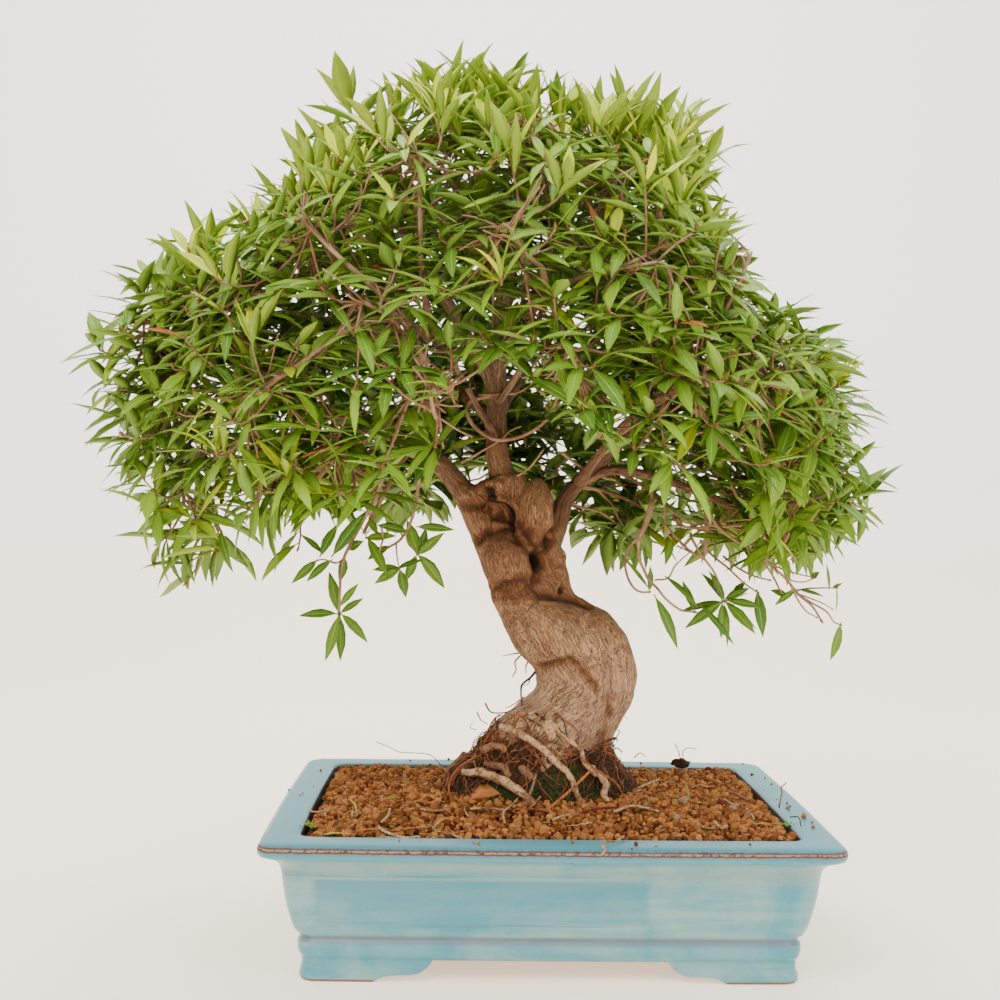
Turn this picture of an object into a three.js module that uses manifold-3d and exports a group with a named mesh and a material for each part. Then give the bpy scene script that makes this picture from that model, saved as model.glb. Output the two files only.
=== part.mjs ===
// Ficus neriifolia bonsai in a glazed rectangular pot
// Millimetres, +Z up. The viewer stands on the -Y side. Everything is drawn round the middle of the pot, with
// the feet on z = 0, and the last lines move the whole so that the origin is the middle of its box's base.

import * as THREE from 'three';
import { mergeVertices } from 'three/addons/utils/BufferGeometryUtils.js';
import Module from 'manifold-3d';

const wasm = await Module();
wasm.setup();

// Driving dimensions
const contactGap = 0.35;

const pot = {
  halfLength: 230,
  halfWidth: 170,
  height: 115,
  wallBow: 2.5,
  // the outer wall from the skirt under the body to the rim: [distance inside the rim's edge, height]
  outerProfile: [
    [34, 17.3], [30.5, 22], [30, 30], [32, 33], [28, 38], [21.5, 62], [17, 92], [8, 101.5], [0, 106],
    [0, 112], [3, 115],
  ],
  rimWidth: 31,
  innerTaper: 4,
  floorTop: 28,
  cornerRadius: 21,
  innerCornerRadius: 10,
  cornerSteps: 3,
  sideSteps: 2,
};

const feet = {
  inset: 32.5,
  thickness: 17,
  joinHeight: 22,
  skirtHeight: 17.3,
  footLength: { long: 104, short: 78 },
  // the arch cut between two feet, from its springing outwards: [distance from the foot's inner end, height]
  archEnd: [[0, 17.3], [5, 12], [12, 5.5], [40, 5.5], [49, -1]],
};

const drain = {
  holeRadius: 17,
  holeX: 88,
  meshSide: 56,
  meshThickness: 1.5,
  meshBar: 4,
  meshHoles: 2,
};

const soil = {
  wallHeight: 112,
  crownRise: 9,
  granulePitch: 26,
  // how far the field's inner corners stray, as a share of the pitch
  stray: 0.25,
  granuleRelief: 4.8,
};

// the mound of old soil that the tree stands on: [height, half length, half width]
const rootBall = {
  middle: [-2, 0],
  levels: [[46, 70, 48], [100, 90, 64], [122, 90, 65], [138, 77, 56], [152, 63, 46], [164, 34, 30]],
  sides: 12,
  roughness: 0.09,
  levelStray: 4,
};

// Solids from three.js geometry

function solidOf(geometry) {
  geometry.deleteAttribute('normal');
  geometry.deleteAttribute('uv');
  const merged = mergeVertices(geometry, 1e-5);
  return new wasm.Manifold(new wasm.Mesh({
    numProp: 3,
    vertProperties: Float32Array.from(merged.attributes.position.array),
    triVerts: Uint32Array.from(merged.index.array),
  }));
}

// the largest connected body, so that loose scraps and sealed hollows are dropped
function mainBody(solid) {
  const bodies = solid.decompose();
  return bodies.reduce((best, body) => (body.volume() > best.volume() ? body : best));
}

function geometryOf(solid) {
  const mesh = solid.getMesh();
  const geometry = new THREE.BufferGeometry();
  geometry.setAttribute('position', new THREE.Float32BufferAttribute(mesh.vertProperties, 3));
  geometry.setIndex(new THREE.Uint32BufferAttribute(mesh.triVerts, 1));
  geometry.computeVertexNormals();
  return geometry;
}

// rings with no more corners than this are closed without a point in their middle
const smallRing = 8;

// a closed skin over rings of equal length, each running anticlockwise about the way to the next ring
function loft(rings) {
  const count = rings[0].length;
  const points = rings.flat();
  const triangles = [];
  for (let ring = 0; ring < rings.length - 1; ring += 1) {
    for (let k = 0; k < count; k += 1) {
      const a = ring * count + k;
      const b = ring * count + (k + 1) % count;
      triangles.push(a, b, b + count, a, b + count, a + count);
    }
  }
  const last = (rings.length - 1) * count;
  const middleOf = (ring) => ring.reduce((sum, p) => sum.add(p), new THREE.Vector3()).divideScalar(count);
  if (count > smallRing) {
    points.push(middleOf(rings[0]), middleOf(rings.at(-1)));
    for (let k = 0; k < count; k += 1) {
      const next = (k + 1) % count;
      triangles.push(points.length - 2, next, k, points.length - 1, last + k, last + next);
    }
  } else {
    for (let k = 1; k < count - 1; k += 1) triangles.push(0, k + 1, k, last, last + k, last + k + 1);
  }
  const geometry = new THREE.BufferGeometry().setFromPoints(points);
  geometry.setIndex(triangles);
  return geometry;
}

// a number from 0 to 1 that always comes out the same for the same whole numbers
function draw(...keys) {
  let hash = 2166136261;
  for (const key of keys) {
    hash = Math.imul(hash ^ (key + 101), 16777619) >>> 0;
    hash = Math.imul(hash ^ (hash >>> 13), 1540483477) >>> 0;
    hash = (hash ^ (hash >>> 15)) >>> 0;
  }
  return hash / 4294967296;
}

const spread = (low, high, ...keys) => low + (high - low) * draw(...keys);

// Pot

function roundedRing(halfX, halfY, radius, z, bow) {
  const ring = [];
  const corners = [[1, 1], [-1, 1], [-1, -1], [1, -1]];
  corners.forEach(([signX, signY], quarter) => {
    const centre = new THREE.Vector2(signX * (halfX - radius), signY * (halfY - radius));
    for (let step = 0; step <= pot.cornerSteps; step += 1) {
      const angle = (quarter + step / pot.cornerSteps) * Math.PI / 2;
      ring.push(new THREE.Vector3(
        centre.x + radius * Math.cos(angle),
        centre.y + radius * Math.sin(angle),
        z,
      ));
    }
    const alongX = quarter % 2 === 0;
    const reach = alongX ? halfX - radius : halfY - radius;
    for (let step = 1; step < pot.sideSteps; step += 1) {
      const share = 1 - 2 * step / pot.sideSteps;
      const out = bow * (1 - share * share);
      ring.push(alongX
        ? new THREE.Vector3(signX * share * reach, signY * (halfY + out), z)
        : new THREE.Vector3(signX * (halfX + out), signY * share * reach, z));
    }
  });
  return ring;
}

function potRing(inset, z, inside) {
  const radius = inside ? pot.innerCornerRadius : Math.max(pot.cornerRadius - inset * 0.35, 8);
  return roundedRing(pot.halfLength - inset, pot.halfWidth - inset, radius, z, pot.wallBow);
}

function innerInset(z) {
  return pot.rimWidth + pot.innerTaper * (pot.height - z) / (pot.height - pot.floorTop);
}

function archCutter(halfOpening, depth) {
  const shape = new THREE.Shape();
  shape.moveTo(-halfOpening - feet.archEnd.at(-1)[0], feet.archEnd.at(-1)[1]);
  [...feet.archEnd].reverse().slice(1).forEach(([out, z]) => shape.lineTo(-halfOpening - out, z));
  feet.archEnd.forEach(([out, z]) => shape.lineTo(halfOpening + out, z));
  const geometry = new THREE.ExtrudeGeometry(shape, { depth: 2 * depth, bevelEnabled: false });
  geometry.translate(0, 0, -depth);
  geometry.rotateX(Math.PI / 2);
  return geometry;
}

function makePot() {
  const outer = pot.outerProfile.map(([inset, z]) => potRing(inset, z, false));
  const inner = [pot.height, pot.floorTop].map((z) => potRing(innerInset(z), z, true));
  const body = solidOf(loft([...outer, ...inner]));

  const footRing = [[feet.inset + 1, 0], [feet.inset - 1, 5], [feet.inset, feet.joinHeight]];
  const footBlock = solidOf(loft(footRing.map(([inset, z]) => potRing(inset, z, false))));
  const innerRing = feet.inset + feet.thickness;
  const hollow = solidOf(loft([-1, feet.skirtHeight].map((z) => potRing(innerRing, z, true))));
  const halfOpenX = pot.halfLength - feet.inset - feet.footLength.long;
  const halfOpenY = pot.halfWidth - feet.inset - feet.footLength.short;
  const frontArch = solidOf(archCutter(halfOpenX, pot.halfWidth));
  const sideArch = solidOf(archCutter(halfOpenY, pot.halfLength).rotateZ(Math.PI / 2));
  let solid = body.add(footBlock.subtract(hollow).subtract(frontArch).subtract(sideArch));

  for (const x of [-drain.holeX, drain.holeX]) {
    const hole = new THREE.CylinderGeometry(drain.holeRadius, drain.holeRadius, 2 * pot.floorTop, 12);
    hole.rotateX(Math.PI / 2).translate(x, 0, pot.floorTop);
    solid = solid.subtract(solidOf(hole));
  }
  return mainBody(solid);
}

function boxSolid(sizeX, sizeY, sizeZ, x, y, z) {
  return solidOf(new THREE.BoxGeometry(sizeX, sizeY, sizeZ).translate(x, y, z));
}

function drainMesh(x) {
  const { meshSide, meshThickness, meshBar, meshHoles } = drain;
  const z = pot.floorTop + contactGap + meshThickness / 2;
  const pitch = (meshSide - meshBar) / meshHoles;
  let solid = boxSolid(meshSide, meshSide, meshThickness, x, 0, z);
  for (let column = 0; column < meshHoles; column += 1) {
    for (let row = 0; row < meshHoles; row += 1) {
      const holeX = x + (column - (meshHoles - 1) / 2) * pitch;
      const holeY = (row - (meshHoles - 1) / 2) * pitch;
      solid = solid.subtract(boxSolid(pitch - meshBar, pitch - meshBar, 2 * meshThickness, holeX, holeY, z));
    }
  }
  return solid;
}

// Soil and root ball

// a block under a field of staggered heights: cell corners lie low and cell middles stand up as granules
function granuleBlock() {
  const halfX = pot.halfLength - pot.rimWidth;
  const halfY = pot.halfWidth - pot.rimWidth;
  const columns = Math.round(2 * halfX / soil.granulePitch);
  const rows = Math.round(2 * halfY / soil.granulePitch);
  const points = [];
  const triangles = [];
  const height = (x, y, lift) => {
    const nearWall = Math.max(Math.abs(x) / halfX, Math.abs(y) / halfY);
    return soil.wallHeight + soil.crownRise * (1 - nearWall ** 3) + lift * soil.granuleRelief;
  };
  const corner = (i, j) => i * (rows + 1) + j;
  for (let i = 0; i <= columns; i += 1) {
    for (let j = 0; j <= rows; j += 1) {
      const inside = i > 0 && i < columns && j > 0 && j < rows ? soil.granulePitch * soil.stray : 0;
      const x = -halfX + 2 * halfX * i / columns + inside * spread(-1, 1, 1, i, j);
      const y = -halfY + 2 * halfY * j / rows + inside * spread(-1, 1, 2, i, j);
      points.push(new THREE.Vector3(x, y, height(x, y, spread(-1, -0.3, 3, i, j))));
    }
  }
  for (let i = 0; i < columns; i += 1) {
    for (let j = 0; j < rows; j += 1) {
      const around = [corner(i, j), corner(i + 1, j), corner(i + 1, j + 1), corner(i, j + 1)];
      const middle = around.reduce((sum, k) => sum.add(points[k]), new THREE.Vector3()).divideScalar(4);
      middle.z = height(middle.x, middle.y, spread(0.2, 1, 4, i, j));
      points.push(middle);
      const top = points.length - 1;
      around.forEach((k, side) => triangles.push(k, around[(side + 1) % 4], top));
    }
  }
  const rimOfField = [];
  for (let i = 0; i < columns; i += 1) rimOfField.push(corner(i, 0));
  for (let j = 0; j < rows; j += 1) rimOfField.push(corner(columns, j));
  for (let i = columns; i > 0; i -= 1) rimOfField.push(corner(i, rows));
  for (let j = rows; j > 0; j -= 1) rimOfField.push(corner(0, j));
  const floor = points.length;
  for (const k of rimOfField) points.push(new THREE.Vector3(points[k].x, points[k].y, 0));
  points.push(new THREE.Vector3(0, 0, 0));
  rimOfField.forEach((k, n) => {
    const next = (n + 1) % rimOfField.length;
    triangles.push(floor + n, floor + next, rimOfField[next], floor + n, rimOfField[next], k);
    triangles.push(points.length - 1, floor + next, floor + n);
  });
  const geometry = new THREE.BufferGeometry().setFromPoints(points);
  geometry.setIndex(triangles);
  return solidOf(geometry);
}

function rootBallBlock(grow) {
  const { middle, levels, sides, roughness, levelStray } = rootBall;
  const rings = levels.map(([z, halfX, halfY], level) => {
    const ring = [];
    for (let k = 0; k < sides; k += 1) {
      const angle = 2 * Math.PI * k / sides;
      const rough = 1 + roughness * spread(-1, 1, 5, level, k);
      const lift = level > 1 && level < levels.length - 1 ? levelStray * spread(-1, 1, 6, level, k) : 0;
      ring.push(new THREE.Vector3(
        middle[0] + (halfX * rough + grow) * Math.cos(angle),
        middle[1] + (halfY * rough + grow) * Math.sin(angle),
        z + lift + (level === 0 ? -grow : 0),
      ));
    }
    return ring;
  });
  return solidOf(loft(rings));
}

function makeSoil(rootsAndTrunk) {
  const bottom = pot.floorTop + contactGap;
  const top = pot.height + soil.crownRise + 2 * soil.granuleRelief;
  const fill = solidOf(loft([bottom, top].map((z) => potRing(innerInset(z) + contactGap, z, true))));
  let solid = granuleBlock().intersect(fill).subtract(rootBallBlock(contactGap)).subtract(rootsAndTrunk);
  for (const x of [-drain.holeX, drain.holeX]) {
    const side = drain.meshSide + 2 * contactGap;
    const depth = 2 * (drain.meshThickness + 2 * contactGap);
    solid = solid.subtract(boxSolid(side, side, depth, x, 0, pot.floorTop));
  }
  return mainBody(solid);
}

// Trunk, roots and limbs: every line is [x, y, z, radius]. The trunk's rings and radii lie level.
const trunkLine = [
  [0, 0, 74, 36], [-1, 0, 118, 52], [-3, 0, 148, 59], [1, 0, 166, 56], [12, -1, 184, 54],
  [25, -2, 200, 49], [35, -3, 216, 43], [34, -3, 233, 45], [24, -3, 250, 51], [16, -3, 266, 52],
  [6, -2, 282, 49], [-12, -2, 298, 37], [-16, -3, 318, 35], [-21, -4, 340, 33], [-24, -4, 362, 28],
  [-23, -3, 386, 19],
];
const trunkSection = { depth: 0.87, flutes: 5, fluteDepth: 0.05, fluteTurn: 0.012 };

// swellings on the trunk: [x, y, z, half size in x, y and z]
const swellings = [
  [-15, -14, 371, 19, 17, 31],
  [-34, -14, 331, 23, 20, 26],
  [-66, -4, 388, 17, 13, 13],
];

const surfaceRoots = [
  [[-26, -30, 186, 9], [-36, -36, 180, 7], [-4, -49, 164, 6], [34, -52, 142, 5.5], [54, -60, 108, 4]],
  [[-54, -20, 160, 10], [-62, -36, 150, 7], [-36, -52, 138, 6.5], [-8, -62, 122, 6], [4, -66, 100, 4]],
  [[-48, -6, 164, 16], [-72, -14, 142, 9.5], [-92, -24, 120, 6.5], [-104, -30, 102, 4]],
  [[-46, 12, 160, 13], [-72, 30, 138, 8], [-90, 44, 116, 5], [-98, 50, 102, 3.5]],
  [[44, -16, 162, 13], [66, -28, 142, 8], [84, -40, 120, 5.5], [94, -48, 100, 4]],
  [[48, 12, 158, 13], [74, 28, 138, 7], [92, 40, 116, 5], [102, 46, 100, 3.5]],
  [[2, 40, 158, 13], [0, 58, 136, 8], [-6, 72, 116, 5], [-10, 80, 100, 3.5]],
  [[22, -34, 160, 10], [30, -50, 134, 6], [24, -63, 112, 4.5], [22, -68, 98, 3.5]],
];

const limbs = {
  leader: [
    [-22, -3, 376, 19], [-32, 0, 408, 13.5], [-43, 0, 435, 11], [-47, 0, 471, 10], [-47, 0, 505, 9.5],
    [-42, 4, 560, 8], [-35, 5, 620, 6.5], [-26, 2, 672, 5],
  ],
  leftLow: [
    [-34, -2, 314, 20], [-50, -3, 345, 17], [-66, -4, 374, 14], [-80, -6, 394, 12], [-98, -8, 413, 10.5],
    [-135, -10, 435, 9], [-190, -12, 455, 7.5], [-250, -10, 475, 6.5], [-305, -5, 492, 5],
  ],
  right: [
    [-6, 0, 334, 16], [6, 0, 355, 11], [21, 0, 386, 8], [37, 0, 403, 7], [62, 0, 431, 6.5], [86, 0, 457, 6],
    [115, 0, 500, 5.5], [135, 0, 548, 4.5],
  ],
  rightLow: [
    [30, 0, 396, 6], [60, -5, 407, 5.5], [108, -10, 400, 5], [158, -14, 380, 4.5],
    [190, -16, 358, 4],
  ],
  farRight: [[76, 0, 446, 6], [92, 2, 458, 5.5], [130, 5, 470, 5.5], [185, 5, 475, 5], [222, 4, 462, 4.2]],
  leftUp: [[-46, 0, 478, 9], [-62, 0, 506, 7.5], [-88, -4, 550, 7], [-122, -6, 600, 6], [-146, -5, 645, 4.6]],
  rightUp: [[-47, 0, 498, 8], [-30, 0, 530, 7], [-8, 0, 568, 6.5], [25, -2, 612, 6], [58, -2, 654, 4.6]],
  frontLeft: [
    [-40, -2, 428, 10], [-50, -30, 448, 8], [-66, -70, 478, 7.5], [-92, -122, 505, 6.5],
    [-122, -165, 515, 5],
  ],
  front: [
    [-45, -2, 452, 9], [-34, -36, 474, 7.5], [-22, -84, 502, 7], [-16, -140, 530, 6],
    [-14, -186, 540, 4.8],
  ],
  frontRight: [
    [28, 0, 392, 7], [40, -30, 418, 6.5], [60, -70, 446, 6], [88, -122, 468, 5.5],
    [106, -168, 476, 4.6],
  ],
  backLeft: [
    [-43, 2, 438, 10], [-58, 34, 462, 8], [-84, 78, 484, 7.5], [-116, 132, 496, 6.5],
    [-142, 176, 498, 5],
  ],
  back: [[-46, 2, 460, 9], [-36, 40, 478, 7.5], [-26, 90, 494, 7], [-22, 146, 500, 6], [-20, 192, 496, 4.8]],
  backRight: [[-2, 6, 344, 13], [16, 26, 378, 9], [42, 62, 410, 8], [74, 110, 436, 7], [104, 154, 444, 5]],
};

// where each leafy spray ends, spread over the crown: side outline first, then the front and the back
const sprayTips = [
  [-378, -9, 528], [-345, 12, 572], [-276, -17, 620], [-206, 10, 668], [-160, 3, 724],
  [-88, -10, 740],
  [-24, 5, 738], [58, 9, 720], [124, -5, 704], [136, 12, 640], [168, 0, 562], [236, 4, 516], [262, 10, 448],
  [276, 0, 388], [218, -21, 320], [132, -29, 308], [-364, -12, 458], [-340, 5, 374], [-258, -12, 376],
  [-176, -36, 308],
  [-292, -110, 540], [-206, -160, 600], [-112, -169, 646], [-22, -138, 690], [72, -131, 656],
  [-254, -160, 446],
  [-146, -203, 524], [-42, -215, 580], [64, -200, 560], [150, -141, 580], [196, -153, 470],
  [104, -213, 468],
  [6, -220, 480], [-96, -212, 442], [-190, -146, 384], [228, -98, 392],
  [-276, 126, 556], [-172, 167, 620], [-30, 158, 676], [84, 151, 650], [-244, 165, 450], [-62, 222, 536],
  [134, 169, 560], [204, 141, 462], [-30, 225, 430], [-150, 201, 398], [88, 175, 346],
  [208, 96, 362],
];

const branching = {
  startShare: 0.4,
  endShare: 0.97,
  turnCost: 70,
  rise: 0.14,
  sway: 0.08,
  swayPerAttempt: 0.04,
  attempts: 20,
  followShare: 0.35,
  branchShare: 0.5,
  forkShare: 0.72,
  rootRadius: 3.8,
  jointRadius: 2.8,
  tipRadius: 1.9,
};

const leaf = {
  length: [54, 68],
  halfWidth: [6.2, 7.6],
  thickness: 1.3,
  stemHalfWidth: 1,
  stemShare: 0.03,
  freeShare: 0.13,
  widestShare: 0.36,
  taperShare: 0.7,
  taperWidth: 0.7,
  spreadAngle: [0.7, 1.15],
  endAngle: [0.05, 0.35],
  droop: 0.28,
  clearance: 0.3,
  tries: 8,
  // how far a leaf strays from the side it grows on, and how far its face leans
  stray: 0.45,
  lean: 0.3,
};

const shoot = {
  length: [26, 40],
  radius: 1.6,
  taper: 0.85,
  whorlLength: 4.5,
  spreadAngle: [0.65, 0.95],
  variants: 12,
};

const toPoint = ([x, y, z]) => new THREE.Vector3(x, y, z);

// a tapering tube through [x, y, z, radius] knots with flat ends. The trunk's fluted section lies level.
function tube(line, sides, grow = 0, section = null) {
  const curve = new THREE.CatmullRomCurve3(line.map(toPoint), false, 'centripetal');
  const upright = new THREE.Vector3(0, 0, 1);
  let normal = null;
  const rings = line.map(([, , , radius], knot) => {
    const share = knot / (line.length - 1);
    const point = curve.getPoint(share);
    const along = curve.getTangent(share);
    if (knot === 0) point.addScaledVector(along, -grow);
    if (knot === line.length - 1) point.addScaledVector(along, grow);
    const axis = section ? upright : along;
    if (!normal) {
      const steep = Math.abs(axis.x) < 0.9;
      normal = new THREE.Vector3(steep ? 1 : 0, steep ? 0 : 1, 0);
    }
    normal = normal.clone().addScaledVector(axis, -normal.dot(axis)).normalize();
    const binormal = new THREE.Vector3().crossVectors(axis, normal);
    const ring = [];
    for (let k = 0; k < sides; k += 1) {
      const angle = 2 * Math.PI * k / sides;
      let reach = radius;
      if (section) {
        reach *= 1 + section.fluteDepth * Math.sin(section.flutes * angle + section.fluteTurn * point.z);
      }
      const depth = section ? section.depth : 1;
      ring.push(point.clone()
        .addScaledVector(normal, (reach + grow) * Math.cos(angle))
        .addScaledVector(binormal, (reach * depth + grow) * Math.sin(angle)));
    }
    return ring;
  });
  return solidOf(loft(rings));
}

function swelling([x, y, z, halfX, halfY, halfZ], grow) {
  const geometry = new THREE.SphereGeometry(1, 8, 6);
  geometry.rotateX(Math.PI / 2);
  geometry.scale(halfX + grow, halfY + grow, halfZ + grow);
  geometry.translate(x, y, z);
  return solidOf(geometry);
}

function trunkParts(grow) {
  return [
    tube(trunkLine, 14, grow, trunkSection),
    ...swellings.map((lump) => swelling(lump, grow)),
    ...surfaceRoots.map((line) => tube(line, 5, grow)),
  ];
}

// Branches: each leafy spray hangs on a branch that leaves the limb nearest to it

// a point on the straight run between two knots, which is where the limb's solid is
function pointOn(line, share) {
  const place = share * (line.length - 1);
  const knot = Math.floor(place);
  return toPoint(line[knot]).lerp(toPoint(line[knot + 1]), place - knot);
}

function branchStart(tip) {
  const samples = 24;
  let best = null;
  for (const line of Object.values(limbs)) {
    const curve = new THREE.CatmullRomCurve3(line.map(toPoint), false, 'centripetal');
    for (let k = Math.ceil(branching.startShare * samples); k <= samples; k += 1) {
      const share = Math.min(k / samples, branching.endShare);
      const point = pointOn(line, share);
      const tangent = curve.getTangent(share);
      const way = tip.clone().sub(point);
      const distance = way.length();
      const cost = distance + branching.turnCost * (1 - way.dot(tangent) / distance);
      if (!best || cost < best.cost) best = { cost, point, tangent, distance };
    }
  }
  return best;
}

// the whole way from limb to tip as one arc, which the branch and its spray share
function sprayRoute(index, attempt) {
  const tip = toPoint(sprayTips[index]);
  const start = branchStart(tip);
  const sway = branching.sway + branching.swayPerAttempt * attempt;
  const lift = new THREE.Vector3(
    spread(-sway, sway, 7, index, attempt),
    spread(-sway, sway, 8, index, attempt),
    branching.rise + spread(-sway, sway, 9, index, attempt),
  );
  const control = start.point.clone()
    .addScaledVector(start.tangent, start.distance * branching.followShare)
    .addScaledVector(lift, start.distance);
  return { route: new THREE.QuadraticBezierCurve3(start.point, control, tip), tip };
}

function stemRing(point, direction, radius, sideways) {
  const normal = sideways.clone().addScaledVector(direction, -sideways.dot(direction)).normalize();
  const binormal = new THREE.Vector3().crossVectors(direction, normal);
  return [0, 1, 2].map((k) => point.clone()
    .addScaledVector(normal, radius * Math.cos(2 * Math.PI * k / 3))
    .addScaledVector(binormal, radius * Math.sin(2 * Math.PI * k / 3)));
}

// three-cornered rings along a route, square to it
function routeRings(route, shares, fromRadius, toRadius, sideways) {
  return shares.map((share, k) => stemRing(
    route.getPoint(share),
    route.getTangent(share).normalize(),
    THREE.MathUtils.lerp(fromRadius, toRadius, k / (shares.length - 1)),
    sideways,
  ));
}

// the share of a route that lies a little way past another share
function sharePast(route, share, distance) {
  const probe = 0.01;
  const speed = route.getPoint(share + probe).distanceTo(route.getPoint(share)) / probe;
  return share + distance / speed;
}

const ringTurn = new THREE.Vector3(0.3, 0.5, 1);

function branchSolid({ route }) {
  const { branchShare, rootRadius, jointRadius } = branching;
  const shares = [0, branchShare / 2, branchShare];
  return solidOf(loft(routeRings(route, shares, rootRadius, jointRadius, ringTurn)));
}

function twigRings({ route }) {
  const fork = branching.forkShare;
  const shares = [
    sharePast(route, branching.branchShare, contactGap),
    fork,
    sharePast(route, fork, shoot.whorlLength),
    1,
  ];
  return routeRings(route, shares, branching.jointRadius, branching.tipRadius, ringTurn);
}

function boxesMeet(a, b) {
  const first = a.boundingBox();
  const second = b.boundingBox();
  return [0, 1, 2].every((axis) => (
    first.min[axis] <= second.max[axis] && second.min[axis] <= first.max[axis]));
}

function touches(solid, others) {
  return others.some((other) => boxesMeet(solid, other) && !solid.intersect(other).isEmpty());
}

// every spray's route, bent until its twig is clear of the limbs and of the routes before it
function clearRoutes(limbSolids) {
  const routes = [];
  sprayTips.forEach((tip, index) => {
    let chosen = null;
    for (let attempt = 0; attempt < branching.attempts && !chosen; attempt += 1) {
      const arc = sprayRoute(index, attempt);
      const branch = branchSolid(arc);
      const twig = solidOf(loft(twigRings(arc)));
      const clear = !touches(twig, [...limbSolids, ...routes.map((other) => other.branch)])
        && !touches(branch, routes.map((other) => other.twig))
        && !touches(twig, routes.map((other) => other.twig));
      if (clear) chosen = { ...arc, branch, twig };
    }
    if (!chosen) throw new Error(`spray ${index} finds no clear way`);
    routes.push(chosen);
  });
  return routes;
}

// Leaves and shoots grow as one skin: each is a tube of three-cornered rings that starts from an open face

class Skin {
  constructor() {
    this.points = [];
    this.triangles = [];
  }

  add(ring) {
    this.points.push(...ring);
    return ring.map((point, k) => this.points.length - ring.length + k);
  }

  // joins two rings and gives back one face of each side, still open
  bridge(from, to) {
    return from.map((corner, k) => {
      const next = (k + 1) % 3;
      this.triangles.push(corner, to[next], to[k]);
      return [corner, from[next], to[next]];
    });
  }

  close(face) {
    this.triangles.push(...face);
  }

  join(from, to) {
    this.bridge(from, to).forEach((face) => this.close(face));
  }

  middle(face) {
    return face.reduce((sum, k) => sum.add(this.points[k]), new THREE.Vector3()).divideScalar(3);
  }

  // the ring turned so that its corners lie nearest to the open face's corners
  matched(face, ring) {
    const middle = ring.reduce((sum, p) => sum.add(p), new THREE.Vector3()).divideScalar(3);
    const start = this.middle(face);
    const score = (turn) => face.reduce((sum, corner, k) => {
      const arm = ring[(k + turn) % 3].clone().sub(middle).normalize();
      return sum + this.points[corner].clone().sub(start).dot(arm);
    }, 0);
    const turn = [0, 1, 2].reduce((best, other) => (score(other) > score(best) ? other : best));
    return [0, 1, 2].map((k) => ring[(k + turn) % 3]);
  }
}

// a direction at an angle to an axis, turned towards a sideways vector
function leaning(axis, sideways, angle) {
  const across = sideways.clone().addScaledVector(axis, -sideways.dot(axis)).normalize();
  return axis.clone().multiplyScalar(Math.cos(angle)).addScaledVector(across, Math.sin(angle)).normalize();
}

// a lance-shaped blade with a flat top and a keel under its midrib, which arches down from its stem
function bladeRings(foot, direction, size, grow, fromShare) {
  const side = new THREE.Vector3().crossVectors(size.up, direction).normalize();
  const up = new THREE.Vector3().crossVectors(direction, side).normalize();
  const at = (share) => foot.clone()
    .addScaledVector(direction, size.length * share)
    .add(new THREE.Vector3(0, 0, -leaf.droop * size.length * share * share));
  const stations = [
    [fromShare, leaf.stemHalfWidth],
    [leaf.widestShare, size.halfWidth],
    [leaf.taperShare, size.halfWidth * leaf.taperWidth],
  ];
  const rings = stations.map(([share, half]) => [
    at(share).addScaledVector(side, half + grow).addScaledVector(up, grow),
    at(share).addScaledVector(side, -half - grow).addScaledVector(up, grow),
    at(share).addScaledVector(up, -leaf.thickness - grow),
  ]);
  return { rings, tip: at(1 + grow / size.length) };
}

// the blade alone, a little enlarged, to see what it would touch
function bladeSolid(foot, direction, size, fromShare) {
  const { rings, tip } = bladeRings(foot, direction, size, leaf.clearance, fromShare);
  const skin = new Skin();
  let last = skin.add(rings[0]);
  skin.close([...last].reverse());
  for (const ring of rings.slice(1)) {
    const next = skin.add(ring);
    skin.join(last, next);
    last = next;
  }
  closeToPoint(skin, last, tip);
  return solidOf(skinGeometry(skin));
}

function closeToPoint(skin, ring, tip) {
  skin.points.push(tip);
  const end = skin.points.length - 1;
  ring.forEach((corner, k) => skin.close([corner, ring[(k + 1) % 3], end]));
}

function skinGeometry(skin) {
  const geometry = new THREE.BufferGeometry().setFromPoints(skin.points);
  geometry.setIndex(skin.triangles);
  return geometry;
}

// a leaf from an open face, or the face closed where no leaf finds room
function growLeaf(skin, face, axis, sideways, angles, around, keys) {
  const foot = skin.middle(face);
  for (let attempt = 0; attempt < leaf.tries; attempt += 1) {
    const key = [...keys, attempt];
    const stray = toPoint([19, 20, 21].map((use) => spread(-leaf.stray, leaf.stray, use, ...key)));
    const way = leaning(axis, sideways.clone().add(stray), spread(...angles, 14, ...key));
    const [leanX, leanY] = [17, 18].map((use) => spread(-leaf.lean, leaf.lean, use, ...key));
    const size = {
      length: spread(...leaf.length, 15, ...key),
      halfWidth: spread(...leaf.halfWidth, 16, ...key),
      up: new THREE.Vector3(leanX, leanY, 1),
    };
    const trial = bladeSolid(foot, way, size, leaf.stemShare);
    const free = bladeSolid(foot, way, size, leaf.freeShare);
    if (!touches(trial, around.others) && !touches(free, around.ownBlades)) {
      const { rings, tip } = bladeRings(foot, way, size, 0, leaf.stemShare);
      const wide = skin.add(skin.matched(face, rings[1]));
      skin.join(face, wide);
      const narrow = skin.add(skin.matched(wide, rings[2]));
      skin.join(wide, narrow);
      closeToPoint(skin, narrow, tip);
      around.ownBlades.push(free);
      return;
    }
  }
  skin.close(face);
}

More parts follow.
